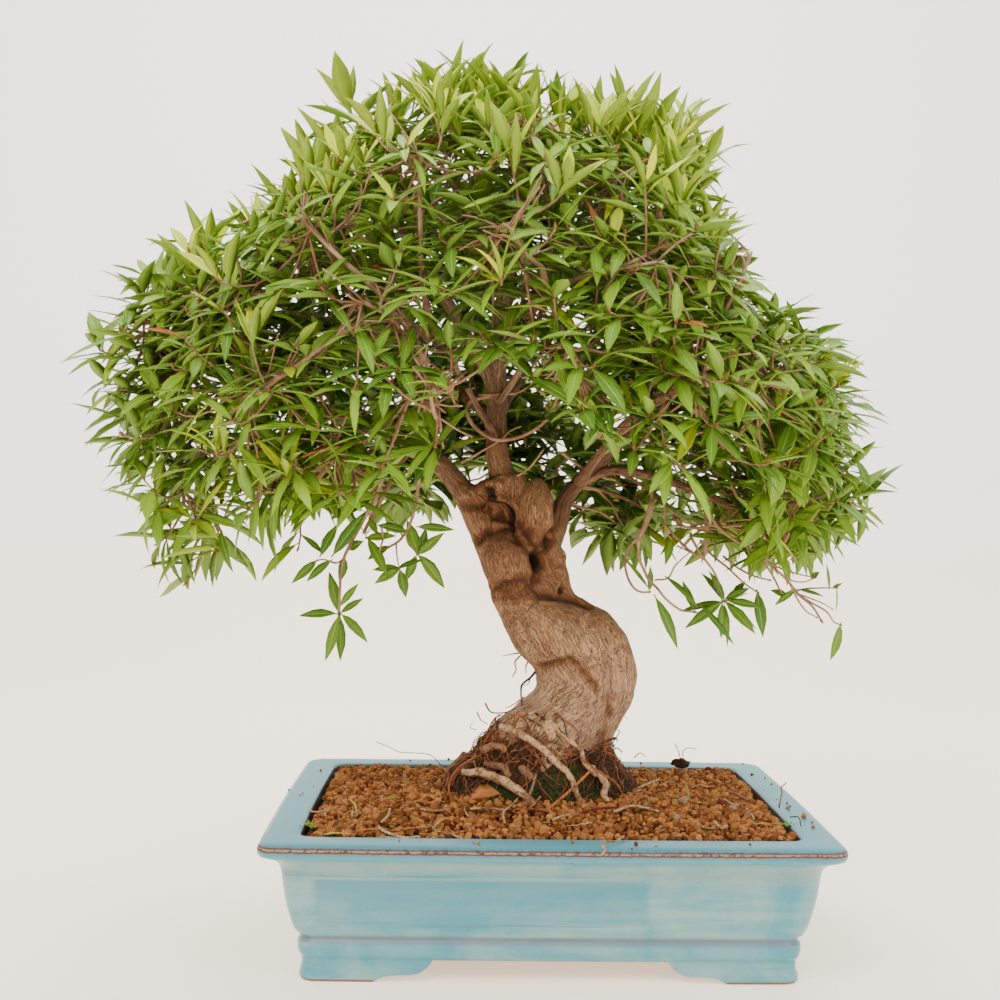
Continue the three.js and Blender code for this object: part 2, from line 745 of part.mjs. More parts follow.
// a short length of stem with a leaf on each of its three sides and one at its end
function growWhorl(skin, from, end, axis, around, keys) {
  const topRing = stemRing(end, axis, shoot.radius * shoot.taper, ringTurn);
  const to = skin.add(skin.matched(from, topRing));
  const middle = skin.middle(from).lerp(end, 0.5);
  skin.bridge(from, to).forEach((face, k) => {
    const outward = skin.middle(face).sub(middle);
    growLeaf(skin, face, axis, outward, leaf.spreadAngle, around, [...keys, k]);
  });
  const endLean = new THREE.Vector3(spread(-1, 1, 22, ...keys), spread(-1, 1, 23, ...keys), 0.4);
  growLeaf(skin, to, axis, endLean, leaf.endAngle, around, [...keys, 3]);
}

// Leafy spray: a twig that forks into three shoots, each ending in a whorl of leaves
function growSpray(index, variant, arc, others) {
  const { route } = arc;
  const keys = [index, variant];
  const skin = new Skin();
  const rings = twigRings(arc).map((ring) => skin.add(ring));
  const around = { others, ownBlades: [] };
  skin.close([...rings[0]].reverse());
  skin.join(rings[0], rings[1]);
  const forks = skin.bridge(rings[1], rings[2]);
  skin.join(rings[2], rings[3]);
  const outward = route.getTangent(1).normalize();
  const twigEnd = arc.tip.clone().addScaledVector(outward, shoot.whorlLength);
  const whorls = [{ ring: rings[3], end: twigEnd, axis: outward }];

  const forkMiddle = skin.middle(rings[1]).lerp(skin.middle(rings[2]), 0.5);
  const along = route.getTangent(branching.forkShare).normalize();
  const bare = Math.floor(spread(0, 3, 27, ...keys));
  forks.forEach((face, k) => {
    if (k === bare) {
      skin.close(face);
      return;
    }
    const foot = skin.middle(face);
    const axis = leaning(along, foot.clone().sub(forkMiddle), spread(...shoot.spreadAngle, 28, ...keys, k));
    const end = foot.clone().addScaledVector(axis, spread(...shoot.length, 29, ...keys, k));
    const ring = skin.matched(face, stemRing(end, axis, shoot.radius, foot.clone().sub(forkMiddle)));
    const tipOfShoot = end.clone().addScaledVector(axis, shoot.whorlLength);
    const sheath = loft([foot, tipOfShoot].map((point) => stemRing(point, axis, 2 * shoot.radius, ringTurn)));
    if (touches(solidOf(sheath), others)) {
      skin.close(face);
      return;
    }
    const added = skin.add(ring);
    skin.join(face, added);
    whorls.push({ ring: added, end: tipOfShoot, axis });
  });
  whorls.forEach(({ ring, end, axis }, k) => growWhorl(skin, ring, end, axis, around, [...keys, k]));
  return solidOf(skinGeometry(skin));
}

// the first variant of a spray that is clear of everything already placed
function makeSpray(index, arc, others) {
  for (let variant = 0; variant < shoot.variants; variant += 1) {
    const spray = growSpray(index, variant, arc, others);
    if (!touches(spray, others)) return spray;
  }
  throw new Error(`spray ${index} finds no room`);
}

// Materials
const materials = {
  pot: new THREE.MeshStandardMaterial({ color: '#74b5c6', roughness: 0.22, metalness: 0 }),
  drainMesh: new THREE.MeshStandardMaterial({ color: '#2c2f2e', roughness: 0.7, metalness: 0 }),
  soil: new THREE.MeshStandardMaterial({ color: '#a06a35', roughness: 0.95, metalness: 0 }),
  rootBall: new THREE.MeshStandardMaterial({ color: '#43331f', roughness: 0.95, metalness: 0 }),
  trunk: new THREE.MeshStandardMaterial({ color: '#a78563', roughness: 0.85, metalness: 0 }),
  leaves: new THREE.MeshStandardMaterial({ color: '#5f9434', roughness: 0.45, metalness: 0 }),
};

// The tree in its pot
const bonsai = new THREE.Group();
bonsai.name = 'ficus_bonsai';

function place(name, solid, material) {
  const mesh = new THREE.Mesh(geometryOf(solid), material);
  mesh.name = name;
  bonsai.add(mesh);
}

const limbSolids = Object.values(limbs).map((line) => tube(line, 4));
const routes = clearRoutes(limbSolids);
const trunk = mainBody(wasm.Manifold.union([
  ...trunkParts(0),
  ...limbSolids,
  ...routes.map((arc) => arc.branch),
]));
const hollowForTrunk = wasm.Manifold.union(trunkParts(contactGap));

place('pot', makePot(), materials.pot);
place('drain_mesh_left', drainMesh(-drain.holeX), materials.drainMesh);
place('drain_mesh_right', drainMesh(drain.holeX), materials.drainMesh);
place('soil', makeSoil(hollowForTrunk), materials.soil);
place('root_ball', mainBody(rootBallBlock(0).subtract(hollowForTrunk)), materials.rootBall);
place('trunk', trunk, materials.trunk);

const placed = [trunk];
routes.forEach((arc, index) => {
  const laterTwigs = routes.slice(index + 1).map((later) => later.twig);
  const spray = makeSpray(index, arc, [...placed, ...laterTwigs]);
  placed.push(spray);
  place(`spray_${String(index + 1).padStart(2, '0')}`, spray, materials.leaves);
});

// the origin goes to the middle of the base of the whole tree's box
const box = new THREE.Box3().setFromObject(bonsai);
bonsai.position.set(-(box.min.x + box.max.x) / 2, -(box.min.y + box.max.y) / 2, -box.min.z);

export default bonsai;
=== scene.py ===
# Willow-leaved fig bonsai in a glazed tray: the looks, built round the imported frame.
# Shapes are drawn in millimetres round the middle of the pot, as in the frame's source, and placed in metres.

import math

import bpy
import numpy as np
from mathutils import Matrix, Vector, noise
from mathutils.bvhtree import BVHTree


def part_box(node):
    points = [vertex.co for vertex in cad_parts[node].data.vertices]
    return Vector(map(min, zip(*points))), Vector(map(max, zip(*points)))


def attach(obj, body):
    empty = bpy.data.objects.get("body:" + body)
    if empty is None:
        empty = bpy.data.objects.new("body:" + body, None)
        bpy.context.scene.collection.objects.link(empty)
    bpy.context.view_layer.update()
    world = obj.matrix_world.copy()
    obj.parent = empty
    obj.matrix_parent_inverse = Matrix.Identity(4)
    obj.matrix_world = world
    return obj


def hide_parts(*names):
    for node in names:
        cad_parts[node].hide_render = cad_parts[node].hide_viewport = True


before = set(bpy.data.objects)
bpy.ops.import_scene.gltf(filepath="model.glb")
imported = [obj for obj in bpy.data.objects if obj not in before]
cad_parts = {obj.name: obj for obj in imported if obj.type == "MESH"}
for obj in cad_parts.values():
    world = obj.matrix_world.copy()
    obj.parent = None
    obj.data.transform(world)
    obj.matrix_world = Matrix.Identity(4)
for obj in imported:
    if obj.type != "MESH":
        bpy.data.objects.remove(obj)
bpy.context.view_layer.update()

potLow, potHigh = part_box("pot")
potMiddle = np.array([(potLow.x + potHigh.x) / 2, (potLow.y + potHigh.y) / 2, 0.0])
mm = 0.001


def toMetres(points):
    return np.asarray(points, float) * mm + potMiddle


def toDrawing(places):
    return (np.asarray(places, float) - potMiddle) / mm


# Numbers that always come out the same

golden = math.pi * (3 - math.sqrt(5))


def draw(*keys):
    value = 2166136261
    for key in keys:
        value = ((value ^ (key + 101)) * 16777619) & 0xFFFFFFFF
        value = ((value ^ (value >> 13)) * 1540483477) & 0xFFFFFFFF
        value ^= value >> 15
    return value / 4294967296


def between(low, high, *keys):
    return low + (high - low) * draw(*keys)


def swing(reach, *keys):
    return between(-reach, reach, *keys)


def unit(vectors):
    vectors = np.asarray(vectors, float)
    return vectors / np.maximum(np.linalg.norm(vectors, axis=-1, keepdims=True), 1e-9)


def smoothStep(low, high, values):
    share = np.clip((np.asarray(values, float) - low) / (high - low), 0, 1)
    return share * share * (3 - 2 * share)


# Materials: a wire is one output socket, and sums or products of wires add their Math nodes

class Wire:
    def __init__(self, tree, socket=None):
        self.tree = tree
        self.socket = socket

    def node(self, kind, settings, sockets, out=0):
        made = self.tree.nodes.new(kind)
        for name, value in settings.items():
            setattr(made, name, value)
        for name, value in sockets.items():
            if isinstance(value, Wire):
                self.tree.links.new(value.socket, made.inputs[name])
            else:
                made.inputs[name].default_value = value
        return Wire(self.tree, made.outputs[out])

    def maths(self, operation, *values):
        return self.node("ShaderNodeMath", {"operation": operation}, dict(enumerate(values)))

    def __add__(self, other):
        return self.maths("ADD", self, other)

    def __sub__(self, other):
        return self.maths("SUBTRACT", self, other)

    def __rsub__(self, other):
        return self.maths("SUBTRACT", other, self)

    def __mul__(self, other):
        return self.maths("MULTIPLY", self, other)

    def __abs__(self):
        return self.maths("ABSOLUTE", self)

    __radd__ = __add__
    __rmul__ = __mul__

    def attribute(self, name, out=1):
        return self.node("ShaderNodeAttribute", {"attribute_name": name}, {}, out)

    def part(self, name):
        return self.node("ShaderNodeSeparateXYZ", {}, {"Vector": self}, name)

    def parts(self):
        return [self.part(name) for name in "XYZ"]

    def ranged(self, low, high):
        return self.node("ShaderNodeMapRange", {"interpolation_type": "SMOOTHSTEP"},
                         {"Value": self, "From Min": low, "From Max": high})

    def band(self, low, fullLow, high, fullHigh):
        return self.ranged(low, fullLow) * self.ranged(high, fullHigh)

    def scaled(self, scale):
        return self.node("ShaderNodeMapping", {}, {"Vector": self, "Scale": scale})

    def clouds(self, scale, detail=4, roughness=0.55, distortion=0):
        return self.node("ShaderNodeTexNoise", {}, {"Vector": self, "Scale": scale, "Detail": detail,
                                                    "Roughness": roughness, "Distortion": distortion})

    def mixed(self, first, second):
        ends = {place: colour if isinstance(colour, Wire) else (*colour, 1)
                for place, colour in ((6, first), (7, second))}
        return self.node("ShaderNodeMix", {"data_type": "RGBA"}, {0: self, **ends}, 2)

    def bump(self, distance, strength=1.0):
        return self.node("ShaderNodeBump", {}, {"Height": self, "Distance": distance, "Strength": strength})


def layered(colour, *layers):  # each layer is how much shows, and its colour
    for share, layer in layers:
        colour = share.mixed(colour, layer)
    return colour


def makeMaterial(name, look, **constants):
    material = bpy.data.materials.new(name)
    material.use_nodes = True
    tree = material.node_tree
    shader = tree.nodes["Principled BSDF"]
    for socket, value in constants.items():
        shader.inputs[socket.replace("_", " ")].default_value = value
    here = Wire(tree).node("ShaderNodeTexCoord", {}, {}, 3)
    for socket, wire in look(here).items():
        tree.links.new(wire.socket, shader.inputs[socket])
    return material


def glazeLook(here):
    height = here.part("Z")
    absX, absY = abs(here.part("X")), abs(here.part("Y"))
    onRim, onLip, soiled = here.attribute("rim").parts()
    streaks = here.scaled((5, 5, 60)).clouds(1.0, 5, 0.6, 0.6)
    strands = here.scaled((3.5, 3.5, 190)).clouds(1.0, 3, 0.6, 0.4)
    clouds = here.clouds(14, 4, 0.6, 0.8)
    fine = here.clouds(420, 3, 0.6)
    ragged = here.clouds(260, 3, 0.7)
    lip = height.ranged(0.099, 0.1035)
    cove = height.band(0.078, 0.092, 0.1035, 0.099)
    pale = (streaks.ranged(0.42, 0.6) * 0.5 + clouds.ranged(0.42, 0.62) * 0.5) * (1 - 0.85 * lip)
    deep = clouds.ranged(0.5, 0.34) * 0.45 + streaks.ranged(0.42, 0.3) * 0.3 + 0.2 * lip
    frontPanel = absY.ranged(0.12, 0.124) * absX.ranged(0.136, 0.126)
    sidePanel = absX.ranged(0.178, 0.182) * absY.ranged(0.083, 0.073)
    panelRows = height.band(0.044, 0.05, 0.089, 0.083)
    panel = (frontPanel + sidePanel) * panelRows
    panelEdge = panel * (1 - panelRows) * 4
    panelDepth = (0.4 + height.ranged(0.055, 0.083) * 0.35) * clouds.ranged(0.2, 0.55)
    footEdge = (here.attribute("bare", 2) + (ragged - 0.5) * 0.35).ranged(0.42, 0.62)
    level = height + (ragged - 0.5) * 0.0022
    lipLine = onLip * level.band(0.1088, 0.1095, 0.113, 0.1124)
    lipHalo = onLip * level.band(0.106, 0.1088, 0.1144, 0.1131) * 0.6 * strands.ranged(0.2, 0.5)
    # a pale beige stripe along the middle of the bare lip line: painted highlight on the lip's rounded edge
    lipHighlight = onLip * level.band(0.11, 0.1106, 0.1122, 0.1116) * ragged.ranged(0.35, 0.55)
    colour = layered(
        pale.mixed((0.085, 0.305, 0.365), (0.245, 0.41, 0.4)),
        (deep, (0.05, 0.255, 0.34)),
        (cove * strands.ranged(0.44, 0.56) * 0.6, (0.235, 0.335, 0.32)),
        (cove * strands.ranged(0.45, 0.38) * 0.5, (0.09, 0.19, 0.215)),
        (onRim * 0.65, (0.105, 0.33, 0.395)),
        (panel * panelDepth, (0.052, 0.24, 0.32)),
        (panelEdge * strands.ranged(0.42, 0.6) * 0.5, (0.3, 0.43, 0.43)),
        (panelEdge * strands.ranged(0.47, 0.4) * 0.6, (0.055, 0.15, 0.185)),
        (height.band(0.0285, 0.0325, 0.0385, 0.0345) * 0.7, (0.19, 0.2, 0.24)),
        (lipHalo, (0.11, 0.14, 0.215)),
        (lipLine, (0.085, 0.038, 0.022)),
        # painted highlight along the lip
        (lipHighlight * 0.85, (0.36, 0.235, 0.15)),
        (footEdge, (0.19, 0.095, 0.055)),
        (soiled * clouds.ranged(0.2, 0.6), (0.085, 0.046, 0.024)),
        (here.clouds(900, 1, 0.5).ranged(0.7, 0.74) * 0.5, (0.04, 0.11, 0.13)))
    bareEdge = lipLine + footEdge
    relief = streaks * 0.6 + clouds * 0.8 + strands * cove * 0.3 + fine * 0.04 + bareEdge * 0.25
    return {"Base Color": colour, "Roughness": 0.22 + 0.14 * clouds + 0.22 * onRim + 0.35 * bareEdge,
            "Normal": relief.bump(0.0012, 0.55)}


def barkLook(here):
    grain = here.attribute("grain")
    fold, youth, _ = here.attribute("marks").parts()
    height = here.part("Z")
    lines = grain.scaled((1, 1, 0.065)).clouds(0.36, 3, 0.6, 0.6)
    fineLines = grain.scaled((1, 1, 0.11)).clouds(0.95, 3, 0.6, 0.5)
    patches = here.clouds(30, 4, 0.6, 0.5)
    blotches = here.clouds(150, 4, 0.7, 0.3)
    specks = here.clouds(420, 2, 0.6)
    wrinkles = abs(lines - 0.5).ranged(0.026, 0.003)
    hairlines = abs(fineLines - 0.5).ranged(0.03, 0.004)
    young = layered(
        patches.ranged(0.3, 0.7).mixed((0.135, 0.055, 0.023), (0.255, 0.125, 0.06)),
        # painted light: limbs above 445 mm are lighter, and those below are left darker as painted shade
        # under the crown
        (height.ranged(0.445, 0.5) * 0.6, (0.62, 0.39, 0.23)),
        (wrinkles * 0.45 + hairlines * 0.3, (0.11, 0.046, 0.02)))
    colour = layered(
        patches.ranged(0.35, 0.65).mixed((0.365, 0.165, 0.068), (0.54, 0.3, 0.145)),
        (blotches.ranged(0.52, 0.7), (0.64, 0.4, 0.215)),
        (height.ranged(0.275, 0.195) * 0.4, (0.72, 0.45, 0.275)),
        (wrinkles * 0.85, (0.075, 0.03, 0.013)),
        (hairlines * 0.6, (0.1, 0.04, 0.018)),
        (specks.ranged(0.66, 0.72) * 0.6, (0.055, 0.022, 0.011)),
        (youth, young),
        (height.ranged(0.255, 0.32) * 0.55 * (1 - youth), (0.27, 0.11, 0.042)),
        # the fold mark gives rust: the bark's own in creases and patches, and painted shade on the trunk's
        # left and back under the limbs
        ((fold + (patches - 0.5) * 0.6).ranged(0.12, 0.75) * 0.8, (0.2, 0.062, 0.014)),
        # near-black painted shade in the hollows and the deepest creases
        (fold.ranged(0.72, 1.0) * 0.9, (0.022, 0.009, 0.005)))
    relief = blotches * 0.3 - wrinkles - hairlines * 0.45 + lines * 1.2
    return {"Base Color": colour, "Roughness": 0.74 + 0.16 * lines, "Normal": relief.bump(0.0018)}


def twigLook(here):
    lines = here.attribute("grain").scaled((1, 1, 0.15)).clouds(1.1, 4, 0.6, 0.3)
    colour = layered(
        here.clouds(60, 3, 0.6).ranged(0.35, 0.68).mixed((0.265, 0.135, 0.068), (0.445, 0.272, 0.16)),
        (here.attribute("tone", 2) * 0.8, (0.27, 0.075, 0.02)),
        (lines.ranged(0.5, 0.34) * 0.5, (0.09, 0.04, 0.018)))
    return {"Base Color": colour, "Normal": lines.bump(0.0006, 0.7)}


def leafLook(here):
    across, along, side = here.attribute("leafPlace").parts()
    light, young, dry = here.attribute("leafTone").parts()
    under = side.ranged(0.52, 0.56)
    off = abs(across)
    veins = here.maths("SINE", along * 46 - off * 9)
    freckles = here.clouds(260, 2, 0.5).ranged(0.35, 0.7)
    colour = layered(
        # the light mark: random tone, with painted shade on the inner leaves and painted light on those near
        # the crown's outline and top
        light.mixed((0.042, 0.128, 0.012), (0.26, 0.43, 0.022)),
        (young, (0.72, 0.76, 0.004)),
        (young.ranged(0.86, 1.0) * 0.45, (0.66, 0.4, 0.02)),
        (off.ranged(0.11, 0.03) * along.ranged(1.0, 0.75) * 0.65, (0.34, 0.52, 0.07)),
        (off.ranged(0.82, 0.96) * 0.6, (0.5, 0.66, 0.05)),
        (along.ranged(0.1, 0.055), (0.34, 0.29, 0.05)),
        (under * 0.65, (0.19, 0.32, 0.05)),
        (veins.ranged(0.5, 1.0) * 0.1, (0.28, 0.46, 0.1)),
        (freckles * 0.08, (0.28, 0.42, 0.07)),
        (dry * freckles.ranged(-0.9, 0.4), (0.35, 0.11, 0.032)))
    return {"Base Color": colour, "Roughness": 0.3 + 0.22 * under + 0.1 * freckles,
            "Normal": (veins * 0.12 + off.ranged(0.14, 0) * -0.5).bump(0.0006, 0.6)}


def granuleLook(here):
    light, pale, stone = here.attribute("crumbTone").parts()
    grit = here.clouds(900, 4, 0.7)
    lumps = here.clouds(300, 3, 0.6)
    colour = layered(
        light.mixed((0.175, 0.048, 0.01), (0.68, 0.265, 0.074)),
        (pale, (0.52, 0.27, 0.095)),
        (stone, (0.36, 0.29, 0.21)),
        (lumps.ranged(0.5, 0.36) * 0.45, (0.14, 0.04, 0.009)),
        (grit.ranged(0.55, 0.3) * 0.4, (0.15, 0.046, 0.011)))
    return {"Base Color": colour, "Normal": (grit + lumps * 1.4).bump(0.0013)}


def bedLook(here):
    grit = here.clouds(520, 5, 0.7)
    return {"Base Color": grit.ranged(0.3, 0.7).mixed((0.045, 0.016, 0.006), (0.17, 0.06, 0.016)),
            "Normal": grit.bump(0.002)}


def moundLook(here):
    grit = here.clouds(420, 5, 0.7)
    clumps = here.clouds(90, 4, 0.6)
    green = (here.attribute("moss", 2) + (clumps - 0.5) * 1.6).ranged(0.45, 0.75)
    colour = layered(
        grit.ranged(0.32, 0.68).mixed((0.014, 0.007, 0.004), (0.1, 0.045, 0.02)),
        (grit.ranged(0.66, 0.74) * 0.6, (0.3, 0.2, 0.11)),
        (green, grit.ranged(0.35, 0.7).mixed((0.013, 0.021, 0.006), (0.06, 0.08, 0.022))))
    return {"Base Color": colour, "Normal": (grit + clumps * 0.5).bump(0.0022)}


def fibreLook(here):
    flecks = here.clouds(380, 3, 0.6)
    stains = here.clouds(90, 3, 0.6)
    colour = layered(
        here.attribute("hue", 0),
        (stains.ranged(0.47, 0.62) * 0.7, (0.15, 0.058, 0.024)),
        (flecks.ranged(0.54, 0.34) * 0.7, (0.05, 0.02, 0.01)))
    return {"Base Color": colour, "Normal": (flecks + stains * 0.8).bump(0.0012)}


def meshLook(here):
    clouds = here.clouds(300, 3, 0.6)
    return {"Base Color": clouds.ranged(0.3, 0.7).mixed((0.018, 0.021, 0.02), (0.035, 0.04, 0.037)),
            "Normal": clouds.bump(0.0004, 0.5)}


def floorLook(here):
    wall = here.part("Z").ranged(0, 0.75) + (here.clouds(1.2, 2, 0.5) - 0.5) * 0.1
    return {"Base Color": wall.mixed((0.96, 0.87, 0.75), (0.89, 0.895, 0.875)),
            "Emission Color": wall.mixed((1.0, 0.78, 0.57), (0.89, 0.895, 0.875))}


glaze = makeMaterial("glaze", glazeLook, Roughness=0.3, Coat_Weight=0.05, Coat_Roughness=0.1,
                     Specular_IOR_Level=0.28)
bark = makeMaterial("bark", barkLook, Roughness=0.8)
twigSkin = makeMaterial("twig", twigLook, Roughness=0.7)
leafSkin = makeMaterial("leaf", leafLook, Roughness=0.36, Specular_IOR_Level=0.22)
clay = makeMaterial("clay granules", granuleLook, Roughness=0.95, Specular_IOR_Level=0.2)
bedSkin = makeMaterial("soil bed", bedLook, Roughness=0.98, Specular_IOR_Level=0.15)
moundSkin = makeMaterial("mound", moundLook, Roughness=0.95, Specular_IOR_Level=0.15)
fibreSkin = makeMaterial("roots and fibres", fibreLook, Roughness=0.75, Specular_IOR_Level=0.3)
for nodeName in ("drain_mesh_left", "drain_mesh_right"):
    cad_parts[nodeName].data.materials.clear()
    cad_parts[nodeName].data.materials.append(makeMaterial("drain mesh", meshLook, Roughness=0.62))
print("materials made")


# Mesh helpers

def deselectAll():
    if bpy.context.object and bpy.context.object.mode != "OBJECT":
        bpy.ops.object.mode_set(mode="OBJECT")
    bpy.ops.object.select_all(action="DESELECT")


def makeActive(piece):
    deselectAll()
    piece.select_set(True)
    bpy.context.view_layer.objects.active = piece


def added(primitive, **settings):
    deselectAll()
    primitive(**settings)
    return bpy.context.object


def edited(piece, step, **settings):  # one operator on the whole mesh
    makeActive(piece)
    bpy.ops.object.mode_set(mode="EDIT")
    bpy.ops.mesh.select_all(action="SELECT")
    step(**settings)
    bpy.ops.object.mode_set(mode="OBJECT")


def selectEdges(piece, chosen):  # ends in edit mode with the chosen edges selected
    bpy.ops.object.mode_set(mode="EDIT")
    bpy.ops.mesh.select_mode(type="EDGE")
    bpy.ops.mesh.select_all(action="DESELECT")
    bpy.ops.object.mode_set(mode="OBJECT")
    for edge in piece.data.edges:
        first, second = (piece.data.vertices[k].co for k in edge.vertices)
        edge.select = chosen(first - second)
    bpy.ops.object.mode_set(mode="EDIT")


def joined(piece, others):
    makeActive(piece)
    for other in others:
        other.select_set(True)
    bpy.ops.object.join()


def applied(piece, kind, **settings):
    modifier = piece.modifiers.new(kind, kind)
    for name, value in settings.items():
        setattr(modifier, name, value)
    bpy.context.view_layer.objects.active = piece
    bpy.ops.object.modifier_apply(modifier=modifier.name)


def asArray(items, field):
    values = np.empty(len(items) * 3)
    items.foreach_get(field, values)
    return values.reshape(-1, 3)


def vertexArray(piece):
    return asArray(piece.data.vertices, "co")


def setVertices(piece, places):
    piece.data.vertices.foreach_set("co", np.asarray(places, float).ravel())
    piece.data.update()


def faceGroups(piece):  # the faces, by how many corners they have
    groups = {}
    for polygon in piece.data.polygons:
        groups.setdefault(len(polygon.vertices), []).append(list(polygon.vertices))
    return [np.array(group) for group in groups.values()]


def repeatedFaces(groups, count, size):  # for that many copies of a shape with so many points
    return [(group[None] + np.arange(count)[:, None, None] * size).reshape(-1, group.shape[1])
            for group in groups]


def finished(piece, name, material, nodes, smoothAngle=None):
    makeActive(piece)
    piece.name = name
    piece.data.name = name
    piece.data.materials.clear()
    piece.data.materials.append(material)
    if smoothAngle is None:
        piece.data.polygons.foreach_set("use_smooth", np.full(len(piece.data.polygons), True))
        piece.data.update()
    else:
        bpy.ops.object.shade_smooth_by_angle(angle=math.radians(smoothAngle))
    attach(piece, "root")
    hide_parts(*nodes)
    return piece


def addAttribute(piece, name, kind, values):
    made = piece.data.attributes.new(name, kind, "POINT")
    field = {"FLOAT": "value", "FLOAT_VECTOR": "vector", "FLOAT_COLOR": "color"}[kind]
    made.data.foreach_set(field, np.asarray(values, np.float32).ravel())


def linked(name, data):
    made = bpy.data.objects.new(name, data)
    bpy.context.scene.collection.objects.link(made)
    return made


class Pile:  # many small shapes that become one mesh
    def __init__(self):
        self.points = []
        self.corners = []
        self.sizes = []
        self.fields = {}
        self.count = 0

    def add(self, points, faces, **fields):
        self.points.append(points)
        for face in faces:
            self.corners.append(np.asarray(face).ravel() + self.count)
            self.sizes.append(np.full(len(face), np.asarray(face).shape[1]))
        for name, values in fields.items():
            self.fields.setdefault(name, []).append(values)
        self.count += len(points)

    def mesh(self):
        corners = np.concatenate(self.corners).astype(np.int32)
        sizes = np.concatenate(self.sizes)
        mesh = bpy.data.meshes.new("pile")
        mesh.vertices.add(self.count)
        mesh.vertices.foreach_set("co", toMetres(np.vstack(self.points)).ravel())
        mesh.loops.add(len(corners))
        mesh.loops.foreach_set("vertex_index", corners)
        mesh.polygons.add(len(sizes))
        mesh.polygons.foreach_set("loop_start", (np.cumsum(sizes) - sizes).astype(np.int32))
        mesh.update(calc_edges=True)
        piece = linked("pile", mesh)
        for field, values in self.fields.items():
            values = np.concatenate(values)
            kind = "FLOAT" if values.ndim == 1 else {3: "FLOAT_VECTOR", 4: "FLOAT_COLOR"}[values.shape[1]]
            addAttribute(piece, field, kind, values)
        return piece


# Lines and tubes

tubeEnds = {"pointed": 2.0, "blunt": 0.3}  # how far the tip stands off the last ring, in radii


def smoothLine(line, shares):
    points = np.array([knot[:3] for knot in line], float)
    padded = np.vstack([2 * points[0] - points[1], points, 2 * points[-1] - points[-2]])
    place = np.clip(np.asarray(shares, float), 0, 1) * (len(points) - 1)
    knot = np.minimum(place.astype(int), len(points) - 2)
    weight = (place - knot)[:, None]
    p0, p1, p2, p3 = (padded[knot + k] for k in range(4))

    def reach(a, b):
        return np.maximum(((b - a) ** 2).sum(1) ** 0.25, 1e-4)[:, None]

    d0, d1, d2 = reach(p0, p1), reach(p1, p2), reach(p2, p3)
    t1 = ((p1 - p0) / d0 - (p2 - p0) / (d0 + d1) + (p2 - p1) / d1) * d1
    t2 = ((p2 - p1) / d1 - (p3 - p1) / (d1 + d2) + (p3 - p2) / d2) * d1
    cubic = 2 * p1 - 2 * p2 + t1 + t2
    square = -3 * p1 + 3 * p2 - 2 * t1 - t2
    return cubic * weight ** 3 + square * weight ** 2 + t1 * weight + p1


def pathOf(line, shares):  # the points along a line of [x, y, z, radius], and their radii
    radii = np.interp(shares, np.linspace(0, 1, len(line)), [knot[3] for knot in line])
    return smoothLine(line, shares), radii


def arc(start, control, end, shares):
    shares = np.asarray(shares, float)[:, None]
    return (1 - shares) ** 2 * start + 2 * shares * (1 - shares) * control + shares ** 2 * end


def framesAlong(path):
    tangents = unit(np.gradient(path, axis=0))
    normal = np.array([1.0, 0.1, 0.05]) if abs(tangents[0][0]) < 0.85 else np.array([0.05, 1.0, 0.1])
    normals = []
    for tangent in tangents:
        normal = unit(normal - tangent * normal.dot(tangent))
        normals.append(normal)
    normals = np.array(normals)
    return tangents, normals, np.cross(tangents, normals)


def lengthsAlong(path):
    return np.concatenate([[0], np.cumsum(np.linalg.norm(np.diff(path, axis=0), axis=1))])


def ringQuads(count, sides):  # the faces between that many rings
    k = np.arange(sides)
    first = np.arange(count - 1)[:, None] * sides
    a = first + k
    b = first + (k + 1) % sides
    return np.stack([a, b, b + sides, a + sides], -1).reshape(-1, 4)


def tube(path, radii, sides, pointed=False):
    path = np.asarray(path, float)
    radii = np.broadcast_to(np.asarray(radii, float), len(path))
    tangents, normals, binormals = framesAlong(path)
    angles = np.arange(sides) * 2 * math.pi / sides
    cosines, sines = np.cos(angles), np.sin(angles)
    ring = normals[:, None] * cosines[None, :, None] + binormals[:, None] * sines[None, :, None]
    points = (path[:, None] + ring * radii[:, None, None]).reshape(-1, 3)
    tip = path[-1] + tangents[-1] * radii[-1] * tubeEnds["pointed" if pointed else "blunt"]
    k = np.arange(sides)
    top = (len(path) - 1) * sides
    foot = np.stack([np.full(sides, len(points)), (k + 1) % sides, k], -1)
    cap = np.stack([np.full(sides, len(points) + 1), top + k, top + (k + 1) % sides], -1)
    lengths = lengthsAlong(path)
    around = np.stack([cosines, sines], -1)[None] * radii[:, None, None]
    grain = np.concatenate([around, np.broadcast_to(lengths[:, None, None], (len(path), sides, 1))], -1)
    grain = np.vstack([grain.reshape(-1, 3), [0, 0, lengths[0]], [0, 0, lengths[-1]]])
    return np.vstack([points, path[0], tip]), [ringQuads(len(path), sides), np.vstack([foot, cap])], grain


def addTube(pile, path, radii, sides, pointed=False, **values):  # each value goes to all its points
    points, faces, grain = tube(path, radii, sides, pointed)
    fields = {name: np.broadcast_to(value, (len(points), *np.shape(value))) for name, value in values.items()}
    if "hue" not in fields:
        fields["grain"] = grain
    pile.add(points, faces, **fields)


# Pot: a rounded outline pulled up through the wall's profile, over the rim and down to the floor inside

